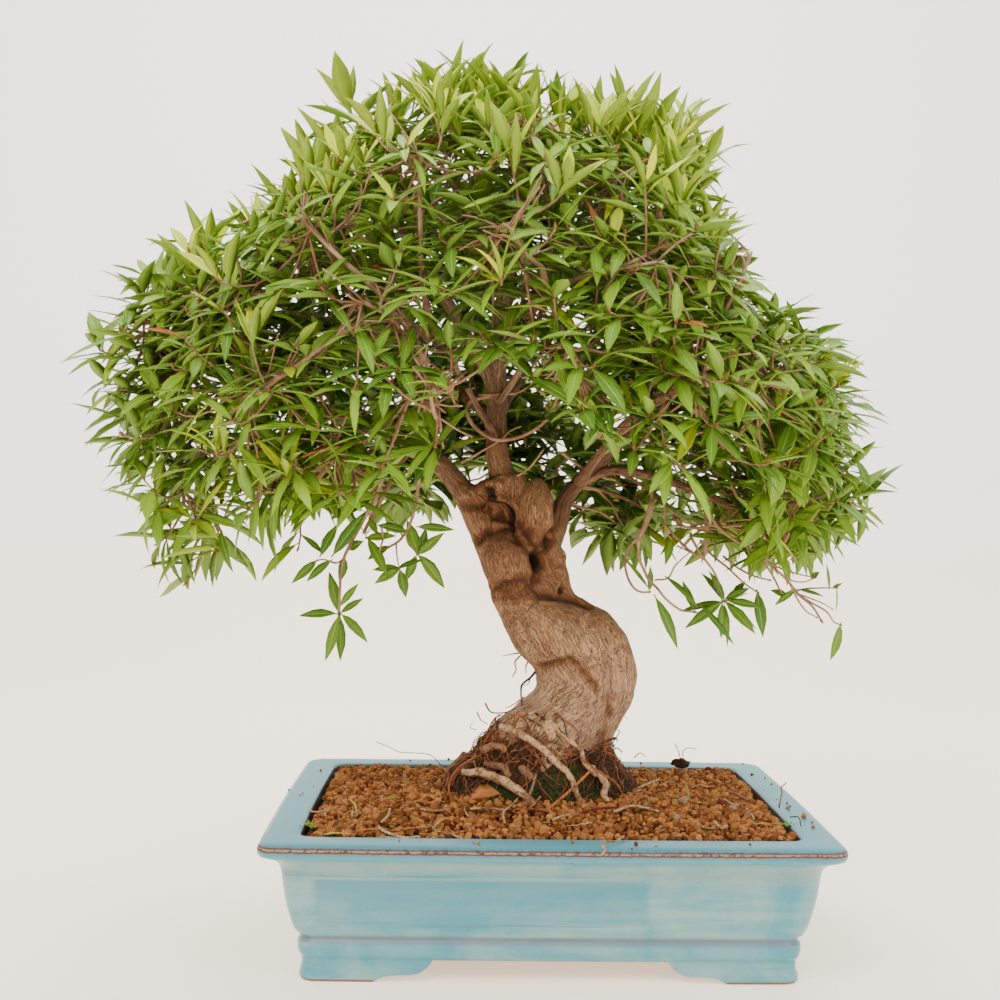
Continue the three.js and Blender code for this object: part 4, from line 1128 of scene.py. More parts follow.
def soilHeight(x, y):
    near = np.maximum(np.abs(x) / soilX, np.abs(y) / soilY)
    heap = soilShape["heap"] * smoothStep(3.2, 1.0, onMound(x, y))
    return soilShape["wallHeight"] + soilShape["crownRise"] * (1 - near ** 3) + heap


def onMound(x, y):  # less than one where the mound covers the soil
    return ((x - moundShape["middle"][0]) / 84) ** 2 + (y / 59) ** 2


def soilRoom(x, y):  # distance to the wall, inwards
    beyondX = np.abs(x) - (soilX - soilShape["corner"])
    beyondY = np.abs(y) - (soilY - soilShape["corner"])
    outside = np.hypot(np.maximum(beyondX, 0), np.maximum(beyondY, 0))
    return soilShape["corner"] - outside - np.minimum(np.maximum(beyondX, beyondY), 0)


def makeBed():
    bed = added(bpy.ops.mesh.primitive_grid_add, x_subdivisions=50, y_subdivisions=36, size=2)
    places = vertexArray(bed)
    x = places[:, 0] * soilX
    y = places[:, 1] * soilY
    room = soilRoom(x, y)
    pull = np.minimum(room, 0)
    x += np.sign(x) * pull * 0.7
    y += np.sign(y) * pull * 0.7
    points = np.stack([x, y, soilHeight(x, y) - 2.2], -1)
    points[:, 2] += 1.6 * noiseOf(points * 0.09, 2)
    setVertices(bed, toMetres(points))
    applied(bed, "SOLIDIFY", thickness=0.05, offset=-1)
    return finished(bed, "soil_bed", bedSkin, ["soil"], 60)


def makeGranule(variant):
    granule = added(bpy.ops.mesh.primitive_cube_add, size=2)
    edited(granule, bpy.ops.mesh.bevel, offset=0.52, segments=1, affect="EDGES")
    places = vertexArray(granule) * 1.25
    for k in range(len(places)):
        for axis in range(3):
            places[k, axis] *= between(0.66, 1.2, 120, variant, k, axis)
    faces = faceGroups(granule)
    bpy.data.objects.remove(granule)
    return places, faces


def turnedBy(angles):  # one turning matrix a row, from three angles
    a, b, c = angles.T
    sa, ca, sb, cb, sc, cc = np.sin(a), np.cos(a), np.sin(b), np.cos(b), np.sin(c), np.cos(c)
    return np.stack([
        np.stack([cb * cc, -cb * sc, sb], -1),
        np.stack([ca * sc + sa * sb * cc, ca * cc - sa * sb * sc, -sa * cb], -1),
        np.stack([sa * sc - ca * sb * cc, sa * cc + ca * sb * sc, ca * cb], -1),
    ], 1)


def addGranules(pile, variants, places, sizes, seed, grey=0.002):
    random = np.random.default_rng(seed)
    kinds = random.integers(0, len(variants), len(places))
    for kind, (shape, faces) in enumerate(variants):
        mine = kinds == kind
        count = int(mine.sum())
        if count == 0:
            continue
        turns = turnedBy(random.uniform(0, 2 * math.pi, (count, 3)))
        stretch = random.uniform(0.78, 1.22, (count, 1, 3)) * sizes[mine][:, None, None]
        points = (shape[None] * stretch) @ turns.transpose(0, 2, 1) + places[mine][:, None]
        light = np.clip(random.normal(0.5, 0.33, count), 0, 1)
        pale = np.where(random.random(count) < 0.06, random.uniform(0.3, 0.9, count), 0)
        stone = np.where(random.random(count) < grey, random.uniform(0.6, 1, count), 0)
        tone = np.repeat(np.stack([light, pale, stone], -1), len(shape), axis=0)
        pile.add(points.reshape(-1, 3), repeatedFaces(faces, count, len(shape)), crumbTone=tone)


def makeGranules():
    random = np.random.default_rng(17)
    pitch, half, jitter = soilShape["pitch"], soilShape["granuleHalf"], soilShape["jitter"]
    grid = []
    for row, y in enumerate(np.arange(-soilY, soilY, pitch * soilShape["rowShare"])):
        x = np.arange(-soilX, soilX, pitch) + (row % 2) * pitch / 2
        grid.append(np.stack([x, np.full(len(x), y)], -1))
    spots = np.vstack(grid)
    spots = spots + random.uniform(-jitter, jitter, spots.shape)
    sizes = random.uniform(*soilShape["size"], len(spots))
    keep = (soilRoom(*spots.T) > sizes * 0.6) & (onMound(*spots.T) > 1.0)
    spots, sizes = spots[keep], sizes[keep]
    heights = soilHeight(*spots.T) + random.uniform(*soilShape["levels"], len(spots))
    heights += soilShape["wallRise"] * smoothStep(12, 2, soilRoom(*spots.T))
    coarse = Pile()
    addGranules(coarse, variants, np.column_stack([spots, heights]), sizes / half, 18)
    print("granules", len(spots))
    finished(coarse.mesh(), "clay_granules", clay, ["soil"], 50)

    count = soilShape["fineCount"]
    spots = random.uniform(-1, 1, (count, 2)) * [soilX - 3, soilY - 3]
    keep = (soilRoom(*spots.T) > 3) & (onMound(*spots.T) > 0.92)
    spots = spots[keep]
    heights = soilHeight(*spots.T) + random.uniform(*soilShape["fineLevels"], len(spots))
    fine = Pile()
    sizes = random.uniform(*soilShape["fineSize"], len(spots)) / half
    addGranules(fine, variants, np.column_stack([spots, heights]), sizes, 19)
    finished(fine.mesh(), "fine_granules", clay, ["soil"], 50)


makeBed()
variants = [makeGranule(k) for k in range(soilShape["variants"])]
makeGranules()
print("soil made")


# Camera, and the places that the photo's pixels show

view = {"place": (-69.1, -1174.4, 383.8), "turn": -0.0225, "down": 0.0021, "roll": -0.01553, "lens": 47.2,
        "sensor": 36, "pixels": 1000}


def cameraAxes():
    forward = np.array([-view["turn"], math.sqrt(1 - view["turn"] ** 2), 0])
    right = np.array([forward[1], -forward[0], 0])
    up = np.array([0, 0, 1.0])
    level = math.sqrt(1 - view["down"] ** 2)
    forward, up = forward * level - up * view["down"], forward * view["down"] + up * level
    level = math.sqrt(1 - view["roll"] ** 2)
    right, up = right * level - up * view["roll"], right * view["roll"] + up * level
    return right, up, forward


viewRight, viewUp, viewForward = cameraAxes()
viewReach = view["lens"] / view["sensor"] * view["pixels"]


def seenAt(points):  # the pixels where these points show
    offset = np.atleast_2d(points) - view["place"]
    away = offset @ viewForward
    return np.stack([view["pixels"] / 2 + offset @ viewRight / away * viewReach,
                     view["pixels"] / 2 - offset @ viewUp / away * viewReach], -1)


def pairs(pixels):  # rows of x and y
    return np.reshape(pixels, (-1, 2)).astype(float)


def alongSight(pixel, axis, value):  # the point that shows at this pixel and has this x, y or z
    half = view["pixels"] / 2
    way = viewForward + (viewRight * (pixel[0] - half) + viewUp * (half - pixel[1])) / viewReach
    return np.array(view["place"]) + way * (value - view["place"][axis]) / way[axis]


def atDepth(pixel, y):
    return alongSight(pixel, 1, y)


def throughPixels(pixels, depths):
    return [atDepth(pixel, depth) for pixel, depth in zip(pairs(pixels), depths)]


def onSoil(pixel, lift=0):
    height = soilShape["wallHeight"] + 4
    for _ in range(4):
        point = alongSight(pixel, 2, height)
        height = soilHeight(point[0], point[1]) + lift
    return point


def insideBy(spots, polygon):  # how far inside, or less than zero outside
    spots = np.atleast_2d(spots)
    a = np.asarray(polygon, float)
    b = np.roll(a, -1, axis=0)
    run = b - a
    offset = spots[:, None] - a[None]
    share = np.clip((offset * run).sum(-1) / (run * run).sum(-1), 0, 1)
    apart = np.linalg.norm(offset - share[..., None] * run, axis=-1).min(1)
    above = (a[None, :, 1] > spots[:, None, 1]) != (b[None, :, 1] > spots[:, None, 1])
    slope = run[:, 0] / np.where(run[:, 1] == 0, 1e-9, run[:, 1])
    left = spots[:, None, 0] < a[None, :, 0] + slope * (spots[:, None, 1] - a[None, :, 1])
    inside = (above & left).sum(1) % 2 == 1
    return np.where(inside, apart, -apart)


# Leaf blade, folded along its midrib, that each leaf repeats

leafStations = (0, 0.08, 0.22, 0.42, 0.64, 0.85, 1)
leafWidths = (0.14, 0.15, 0.66, 1.0, 0.88, 0.4, 0)
leafForm = {"fold": 0.17, "keel": 0.05, "thickness": 0.035, "wave": 0.06, "dryCurl": 2.4}


def makeLeafBlade():
    sheets = []
    for columns, side in ((4, 1), (2, -1)):
        sheet = added(bpy.ops.mesh.primitive_grid_add, x_subdivisions=columns,
                      y_subdivisions=len(leafStations) - 1, size=2)
        places = vertexArray(sheet)
        places[:, 2] = side * (1 - np.abs(places[:, 0]))
        setVertices(sheet, places)
        sheets.append(sheet)
    blade, under = sheets
    edited(under, bpy.ops.mesh.flip_normals)
    joined(blade, [under])
    places = vertexArray(blade)
    rows = np.interp((places[:, 1] + 1) / 2, np.linspace(0, 1, len(leafStations)), leafStations)
    widths = np.interp(rows, leafStations, leafWidths)
    places[:, 0] *= widths
    places[:, 1] = rows
    places[:, 2] *= widths * (rows > 0.01)
    setVertices(blade, places)
    edited(blade, bpy.ops.mesh.remove_doubles, threshold=1e-5)
    places = vertexArray(blade)
    faces = faceGroups(blade)
    bpy.data.objects.remove(blade)
    width = np.interp(places[:, 1], leafStations, leafWidths)
    return {"along": places[:, 1], "across": places[:, 0] / np.maximum(width, 1e-6), "width": width,
            "lift": np.sign(places[:, 2]) * (np.abs(places[:, 2]) > 1e-4), "faces": faces}


leafBlade = makeLeafBlade()


def addLeaves(pile, leaves):
    columns = {key: np.array([leaf[key] for leaf in leaves], float) for key in leaves[0]}
    way = unit(columns["way"])
    up = columns["up"]
    normal = unit(up - way * (up * way).sum(1, keepdims=True))
    side = np.cross(way, normal)
    along = leafBlade["along"][None, :, None]
    across = leafBlade["across"][None, :, None]
    each = {key: values[:, None, None] for key, values in columns.items() if values.ndim == 1}
    half = leafBlade["width"][None, :, None] * each["halfWidth"]
    bend, length, twist = each["bend"], each["length"], each["twist"] * along
    turned = bend * along
    middle = columns["foot"][:, None] + length / bend * (way[:, None] * np.sin(turned)
                                                         + normal[:, None] * (np.cos(turned) - 1))
    upward = normal[:, None] * np.cos(turned) + way[:, None] * np.sin(turned)
    sideward = side[:, None] * np.cos(twist) + upward * np.sin(twist)
    upward = upward * np.cos(twist) - side[:, None] * np.sin(twist)
    off = np.abs(across)
    wave = leafForm["wave"] * np.sin(along * 11 + each["phase"] + across * 1.3) * off
    curl = leafForm["fold"] * (1 + leafForm["dryCurl"] * each["dry"])
    fold = curl * off ** 1.2 - leafForm["keel"] * (1 - off)
    thick = leafForm["thickness"] * leafBlade["lift"][None, :, None]
    points = middle + sideward * across * half * (1 - 0.05 * off) + upward * half * (fold + wave + thick)
    count = len(leaves)
    size = len(leafBlade["along"])
    place = np.stack([leafBlade["across"], leafBlade["along"], 0.5 - 0.5 * leafBlade["lift"]], -1)
    tone = np.repeat(np.stack([columns["light"], columns["young"], columns["dry"]], -1), size, axis=0)
    faces = repeatedFaces(leafBlade["faces"], count, size)
    pile.add(points.reshape(-1, 3), faces, leafPlace=np.tile(place, (count, 1)), leafTone=tone)


def placedLeaf(foot, tip, halfWidth, key, light=0.35, young=0, dry=0, up=(0.2, -0.8, 0.6), bend=0.35):
    run = tip - foot
    facing = unit(np.array(up) + [swing(0.4, 140, key), 0, swing(0.3, 141, key)])
    across = unit(facing - unit(run) * (facing @ unit(run)))
    return {
        "foot": foot, "way": unit(run) + across * bend / 2, "up": facing, "length": np.linalg.norm(run),
        "halfWidth": halfWidth, "bend": bend, "twist": swing(0.3, 142, key),
        "phase": between(0, 6.28, 143, key), "light": light, "young": young, "dry": dry,
    }


# Litter: dry fibres, a dead leaf, weeds and pebbles on the soil, crumbs on the rim and wiry roots

litter = {
    # the pixels that each fibre passes as x, y, x, y, its radius and its colour
    "fibres": [
        ([305, 810, 317, 812, 329, 810], 0.8, "straw"),
        ([330, 810, 325, 813, 327, 818], 0.5, "white"),
        ([349, 799, 355, 805, 357, 816], 0.9, "yellow"),
        ([353, 809, 352, 813, 353, 817], 0.5, "white"),
        ([390, 809, 388, 816, 382, 822], 1.2, "straw"),
        ([421, 809, 430, 811, 446, 810], 1.1, "straw"),
        ([443, 820, 438, 823, 433, 828], 1.2, "straw"),
        ([465, 807, 465, 811, 468, 816], 0.5, "white"),
        ([378, 827, 388, 833, 405, 838, 418, 837], 1.2, "white"),
        ([380, 837, 396, 838, 413, 839], 0.9, "straw"),
        ([353, 832, 372, 829, 392, 831, 412, 828, 433, 827], 0.9, "orange"),
        ([433, 829, 448, 834, 466, 831, 481, 838], 0.8, "orange"),
        ([324, 835, 334, 833, 344, 834], 0.9, "yellow"),
        ([433, 831, 447, 833, 463, 839], 0.9, "straw"),
        ([427, 841, 432, 838, 438, 837], 0.6, "straw"),
        ([505, 824, 503, 814, 508, 808, 515, 802, 521, 792, 522, 781], 1.1, "straw"),
        ([470, 809, 488, 808, 505, 810], 1.0, "straw"),
        ([614, 812, 630, 806, 646, 808, 657, 811], 1.4, "straw"),
        ([552, 820, 566, 815, 580, 814], 1.1, "straw"),
        ([664, 783, 671, 782, 678, 785], 1.1, "straw"),
        ([638, 788, 650, 783, 658, 780], 1.2, "straw"),
        ([724, 799, 732, 804, 741, 806, 750, 812], 1.0, "straw"),
        ([726, 791, 736, 794, 747, 800], 1.1, "tan"),
        ([695, 822, 706, 828, 715, 829], 0.8, "straw"),
        ([714, 822, 722, 828, 727, 826], 1.5, "straw"),
        ([655, 833, 661, 831, 665, 829], 0.7, "tan"),
        ([737, 838, 744, 835, 749, 835], 0.6, "straw"),
        ([746, 812, 752, 815, 754, 819], 0.7, "white"),
        ([691, 788, 700, 785, 708, 788], 0.7, "straw"),
    ],
    # ends that stand up off the soil or lie over the rim: pixels, depths, radius and colour
    "standing": [
        ([693, 816, 688, 793, 685, 779], (-92, -96, -98), 0.55, "blade"),
        ([660, 786, 648, 771, 645, 768], (-40, -42, -44), 0.4, "blade"),
        ([624, 836, 616, 841, 604, 842, 603, 846, 605, 850, 601, 855],
         (-146, -158, -169, -172.5, -173.5, -173.2), 0.9, "straw"),
        ([779, 808, 781, 797, 782, 792, 781, 788, 786, 783], (-92, -94, -92, -93, -90), 0.6, "red"),
        ([790, 817, 798, 817, 801, 826], (-112, -118, -132), 0.5, "dark"),
        ([680, 757, 678, 750, 675, 744], (104, 102, 104), 0.5, "dark"),
        ([683, 757, 683, 751, 688, 748, 696, 749], (104, 102, 100, 98), 0.5, "dark"),
        ([376, 742, 387, 746, 399, 752, 415, 753, 430, 755, 438, 762, 443, 769],
         (124, 125, 126, 127, 128, 130, 131), 0.45, "dark"),
    ],
    "weeds": [(309, 827, 6.5), (313, 829, 5), (779, 827, 6), (789, 828, 7), (797, 827, 5), (710, 797, 5)],
    "pebbles": [(683.6, 801, 3.9), (676.3, 819, 2.7), (733, 809, 2.6)],
    "rimCrumbs": [(636, 844, 1.5), (632, 849, 0.8), (804, 816, 2.1), (813, 827, 1.1), (787, 803, 0.8),
                  (790, 806, 0.7), (789, 810, 0.8), (812, 822, 0.8), (300, 826, 0.6), (289, 790, 0.8)],
    "clump": {"pixel": (680, 763), "y": 104, "size": (9.5, 6, 4.5)},
    "moreCrumbs": 26, "strayCount": 150, "strayLength": (7, 26), "strayRadius": (0.25, 0.75),
    "strayTones": ("straw", "tan", "white", "red", "dark", "straw"),
}


def fibreLine(points, stepsEach):
    return smoothLine(points, np.linspace(0, 1, stepsEach * len(points)))


def strayFibre(index):
    x = swing(1, 150, index) * (soilX - 8)
    y = swing(1, 151, index) * (soilY - 8)
    turn = between(0, 6.28, 152, index)
    curl = swing(0.5, 153, index)
    stride = between(*litter["strayLength"], 154, index) / 7
    radius = between(*litter["strayRadius"], 155, index)
    path = []
    isClear = onMound(x, y) >= 1.05
    while isClear and len(path) < 8 and soilRoom(x, y) >= 3:
        step = len(path)
        lift = 2.4 + radius + 1.4 * draw(156, index, step)
        path.append((x, y, soilHeight(x, y) + lift))
        turn += curl + swing(0.4, 157, index, step)
        x += stride * math.cos(turn)
        y += stride * math.sin(turn)
    return path, radius


def makeFibres():
    pile = Pile()
    for pixels, radius, tone in litter["fibres"]:
        points = [onSoil(pixel, 2.6 + radius + 1.2 * (k % 2)) for k, pixel in enumerate(pairs(pixels))]
        addRoot(pile, fibreLine(points, 4), radius, tone, 5)
    for pixels, depths, radius, tone in litter["standing"]:
        addRoot(pile, fibreLine(throughPixels(pixels, depths), 4), radius, tone, 5)
    tones = litter["strayTones"]
    for index in range(litter["strayCount"]):
        path, radius = strayFibre(index)
        if len(path) > 3:
            tone = tones[int(len(tones) * draw(158, index))]
            addRoot(pile, path, np.linspace(radius, radius * 0.5, len(path)), tone, 4)
    return finished(pile.mesh(), "dry_fibres", fibreSkin, ["soil"])


def makeWeeds():
    leaves = []
    for index, (pixelX, pixelY, size) in enumerate(litter["weeds"]):
        root = onSoil((pixelX, pixelY), 1.5)
        for leaf in range(7):
            angle = golden * leaf
            tip = root + np.array([math.cos(angle), math.sin(angle), 0.75]) * size * (0.6 + 0.07 * leaf)
            leaves.append(placedLeaf(root, tip, size * 0.2, index * 10 + leaf, 0.35, 0.1, 0, (0, -0.2, 1)))
    pile = Pile()
    addLeaves(pile, leaves)
    return finished(pile.mesh(), "weeds", leafSkin, ["soil"])


def makeDeadLeaf():
    pile = Pile()
    large = throughPixels([468, 800, 503, 794], (-92, -88))
    small = throughPixels([384, 800, 402, 797], (-60, -54))
    addLeaves(pile, [placedLeaf(*large, 8.4, 7, 0.1, 0, 1.0, (0.1, -0.6, 0.7), 0.8),
                     placedLeaf(*small, 3.5, 8, 0.4, 0, 0.8, (0, -0.5, 0.8), 0.6)])
    return finished(pile.mesh(), "dead_leaf", leafSkin, ["soil"])


def makePebbles():
    pile = Pile()
    spots = np.array([onSoil(pebble[:2], 3.2) for pebble in litter["pebbles"]])
    sizes = np.array([pebble[2] for pebble in litter["pebbles"]])
    addGranules(pile, variants, spots, sizes / 1.05, 23, grey=1.0)

    def onRim(size):
        return potShape["inner"][0][1] + 0.3 + size * 0.8

    spots = [alongSight((pixelX, pixelY), 2, onRim(size)) for pixelX, pixelY, size in litter["rimCrumbs"]]
    sizes = [crumb[2] for crumb in litter["rimCrumbs"]]
    for index in range(litter["moreCrumbs"]):
        side = 1 if draw(170, index) < 0.5 else -1
        along = swing(1, 171, index)
        out = between(0.9, 0.97, 172, index) * side
        spot = (along * 215, out * 170) if draw(173, index) < 0.6 else (out * 230, along * 155)
        sizes.append(between(0.4, 1.1, 174, index))
        spots.append(np.array([*spot, onRim(sizes[-1])]))
    addGranules(pile, variants, np.array(spots), np.array(sizes) / 1.05, 24, grey=0.1)
    return finished(pile.mesh(), "pebbles_and_crumbs", clay, ["soil"], 50)


def makeClump():
    clump = litter["clump"]
    lump = added(bpy.ops.mesh.primitive_ico_sphere_add, subdivisions=3, radius=1)
    places = vertexArray(lump)
    places *= 1 + 0.35 * noiseOf(places * 1.9, 3)[:, None]
    setVertices(lump, toMetres(places * clump["size"] + atDepth(clump["pixel"], clump["y"])))
    addAttribute(lump, "moss", "FLOAT", np.zeros(len(places)))
    return finished(lump, "root_clump", moundSkin, ["soil"])


# Wiry roots that stand off the trunk and the mound, and the twig that loops across the trunk's column

wiryRoots = [
    # pixels, depths, radius and colour
    ([521, 653, 512, 654, 503, 656], (-2, -6, -8), 0.75, "tan"),
    ([521, 655, 515, 662, 516, 670, 512, 677], (-2, -8, -10, -12), 0.85, "tan"),
    ([529, 660, 526, 666, 526, 673], (-6, -10, -11), 0.8, "tan"),
    ([538, 668, 531, 677, 522, 685, 521, 693, 522, 705], (-10, -14, -16, -18, -22), 1.2, "dark"),
    ([530, 678, 528, 684, 520, 686], (-14, -18, -20), 0.6, "dark"),
    ([524, 697, 514, 704, 506, 708], (-22, -26, -30), 0.7, "tan"),
    ([485, 703, 491, 712, 507, 712, 516, 708], (-30, -30, -30, -28), 0.8, "dark"),
    ([477, 712, 481, 720, 488, 724], (-26, -28, -30), 0.7, "tan"),
    ([604, 744, 611, 740, 617, 739, 617, 742], (-20, -20, -18, -18), 0.9, "dark"),
    ([604, 747, 612, 750, 617, 748, 622, 752], (-16, -12, -10, -10), 0.9, "dark"),
    ([620, 713, 624, 716, 628, 719], (0, 0, 0), 0.4, "dark"),
    ([476, 730, 470, 727, 473, 722], (-10, -8, -8), 0.5, "dark"),
    ([634, 758, 640, 753, 646, 757], (8, 8, 8), 0.6, "dark"),
]
columnTwigs = [
    # pixels, the first and the last depth, radius
    ([494, 396, 480, 398, 468, 404, 468, 416, 476, 428, 491, 438, 501, 440, 519, 437, 537, 428, 553, 412,
      562, 396, 567, 380], (-5, -34), 2.0),
    ([461, 463, 482, 451, 500, 440, 510, 431, 521, 426], (-9, -12), 1.2),
    ([507, 480, 519, 475, 530, 467, 544, 449], (-12, -22), 1.2),
    ([478, 395, 501, 394, 516, 393, 535, 383, 553, 371], (-7, -18), 1.2),
    ([561, 452, 578, 465, 605, 478, 616, 480], (2, -4), 1.5),
]


def makeWiryRoots():
    pile = Pile()
    for pixels, depths, radius, tone in wiryRoots:
        path = fibreLine(throughPixels(pixels, depths), 5)
        addRoot(pile, path, np.linspace(radius, radius * 0.6, len(path)), tone, 6)
    return finished(pile.mesh(), "wiry_roots", fibreSkin, ["trunk", "root_ball"])


makeFibres()
makeWeeds()
makeDeadLeaf()
makePebbles()
makeClump()
makeWiryRoots()
print("litter made")


# Crown: each spray is a branch with twigs, shoots and whorls of leaves

crown = {
    "middle": (-30, 0, 470), "middlePixel": (510, 410), "reach": (370, 260, 290), "shoots": 15,
    "frontShoots": 13, "frontFrom": -100, "innerShoots": 5,
    "discRadius": 86, "depth": (-64, 14), "nearDepth": (-24, 14), "innerDepth": (-150, -80), "curve": 560,
    "inset": 27, "topInset": 20, "edgeShare": 40, "edgeDepth": 60, "leaves": (7, 10), "innerLeaves": (5, 7),
    "leafLength": (44, 64), "leafHalfWidth": (4.5, 6.8), "broadHalfWidth": 8.8, "broadShare": 0.06,
    "leafRow": 26, "youngAbove": 620, "deepest": 292, "deepestShoot": 240, "outside": 9, "spurInset": 12,
    "windowDepth": 60,
    # the crown's outline and the gap where the trunk's top and the limbs show, in the photo's pixels
    "outline": [
        61, 345, 98, 314, 112, 265, 166, 229, 259, 193, 283, 137, 327, 73, 402, 65, 461, 49,
        510, 45, 562, 77, 642, 80, 706, 88, 732, 133, 739, 218, 755, 283, 816, 311, 862, 345,
        868, 391, 889, 440, 912, 520, 868, 545, 812, 572, 760, 578, 728, 566, 700, 560, 664, 560,
        612, 572, 575, 556, 556, 530, 467, 468, 447, 520, 400, 528, 345, 530, 299, 512, 265, 570,
        152, 601, 121, 558, 91, 454,
    ],
    "window": [
        454, 436, 466, 400, 480, 362, 512, 362, 528, 392, 540, 415, 575, 440, 610, 460, 636, 486,
        636, 651, 454, 651,
    ],
}
branching = {
    "startShare": 0.4, "endShare": 0.97, "turnCost": 70, "sway": 0.08, "rise": 0.14, "followShare": 0.35,
    "trunkShare": 0.5, "bareShare": 0.84, "radii": (3.7, 2.5, 1.3), "sideTwigs": 4, "spurs": 4, "youth": 0.75,
}
bareSprays = {13: 10, 14: 8, 15: 8, 19: 0, 34: 8, 46: 10}  # sprays with fewer shoots
fillShoots = {41: 10, 44: 22, 45: 12, 46: 16}  # shoots inside, behind the trunk's top


def roomAt(points, edge="outline"):  # how far inside the crown's outline or its window these points show
    return insideBy(seenAt(points), pairs(crown[edge]))


def limbStart(tip):
    best = None
    for line in limbs:
        for step in range(math.ceil(branching["startShare"] * 24), 25):
            share = min(step / 24, branching["endShare"])
            before, point, ahead = smoothLine(line, [share - 0.02, share, min(share + 0.02, 1)])
            tangent = unit(ahead - before)
            way = tip - point
            distance = np.linalg.norm(way)
            cost = distance + branching["turnCost"] * (1 - way @ tangent / distance)
            if best is None or cost < best[0]:
                best = (cost, point, tangent, distance)
    return best[1:]


def branchRoute(index):
    tip = sprayTips[index]
    start, tangent, distance = limbStart(tip)
    sway = branching["sway"]
    lift = np.array([swing(sway, 7, index), swing(sway, 8, index), branching["rise"]])
    control = start + tangent * distance * branching["followShare"] + lift * distance
    return start, control, tip


branches = [branchRoute(index) for index in range(len(sprayTips))]


def makeBranches():
    pile = Pile()
    joint = branching["trunkShare"]
    for index, route in enumerate(branches):
        shares = np.linspace(0, joint + 0.01, 14)
        path = arc(*route, shares)
        wander = np.sin(shares * math.pi / joint) * 1.6
        path[:, 0] += wander * swing(1, 31, index)
        path[:, 2] += wander * swing(1, 32, index)
        radii = np.interp(shares, [0, joint], branching["radii"][:2])
        radii *= 1 + 0.06 * np.sin(shares * 40 + index)
        radii[0] *= 1.35
        addTube(pile, path, radii, 9, marks=(0, branching["youth"], 0))
    return finished(pile.mesh(), "branches", bark, ["trunk"])


def leafTips(leaves):
    return np.array([leaf["foot"] + unit(leaf["way"]) * leaf["length"] * 0.93
                     - np.array([0, 0, 0.42 * leaf["bend"] * leaf["length"] * abs(unit(leaf["up"])[2])])
                     for leaf in leaves])


def edgeSpots():  # each corner of the outline goes to the nearest spray of the middle row
    rows = [k for k, tip in enumerate(sprayTips) if abs(tip[1]) < crown["edgeDepth"]]
    seen = seenAt(sprayTips[rows])
    spots = {}
    for corner in pairs(crown["outline"]):
        index = rows[int(np.linalg.norm(seen - corner, axis=1).argmin())]
        spots.setdefault(index, []).append(corner)
    return spots


cornersOf = edgeSpots()


def shootEnds(index, count):
    tip = sprayTips[index]
    outward = unit((tip - np.array(crown["middle"])) / np.square(crown["reach"]))
    first = unit(np.cross(outward, (0.1, 0.2, 1.0)))
    second = np.cross(outward, first)
    upper = smoothStep(crown["youngAbove"] - 40, crown["youngAbove"] + 40, tip[2])
    inset = crown["inset"] + crown["topInset"] * upper
    shoots = []
    innerCount = fillShoots.get(index, 0) + (crown["innerShoots"] if count > 10 else 0)
    for k in range(count + innerCount):
        inner = k >= count
        angle = golden * k + between(0, 6.28, 40, index)
        radius = crown["discRadius"] * math.sqrt((k % count + 0.4) / count)
        radius *= between(0.85, 1.12, 41, index, k)
        depths = "innerDepth" if inner else "nearDepth" if k % 2 == 0 else "depth"
        depth = between(*crown[depths], 42, index, k) - (0 if inner else radius ** 2 / crown["curve"])
        end = tip + (first * math.cos(angle) + second * math.sin(angle)) * radius + outward * depth
        base = tip - outward * 70
        for _ in range(6):
            blocked = end[1] < crown["windowDepth"] and roomAt(end, "window")[0] > -8
            if roomAt(end)[0] > inset and not blocked and abs(end[1]) < crown["deepestShoot"]:
                shoots.append((end, outward, inner))
                break
            end = end + (base - end) * 0.22
    if index not in bareSprays:
        for k, corner in enumerate(cornersOf.get(index, [])):
            way = unit(corner - np.array(crown["middlePixel"]))
            end = atDepth(corner - way * crown["edgeShare"], tip[1] + swing(22, 43, index, k))
            shoots.append((end, unit(np.array([way[0], swing(0.3, 44, index, k), -way[1]])), False))
    return shoots, outward


# Twigs and leaves that hang clear of the crown, by the pixels that they pass: (pixels, depth, radius)

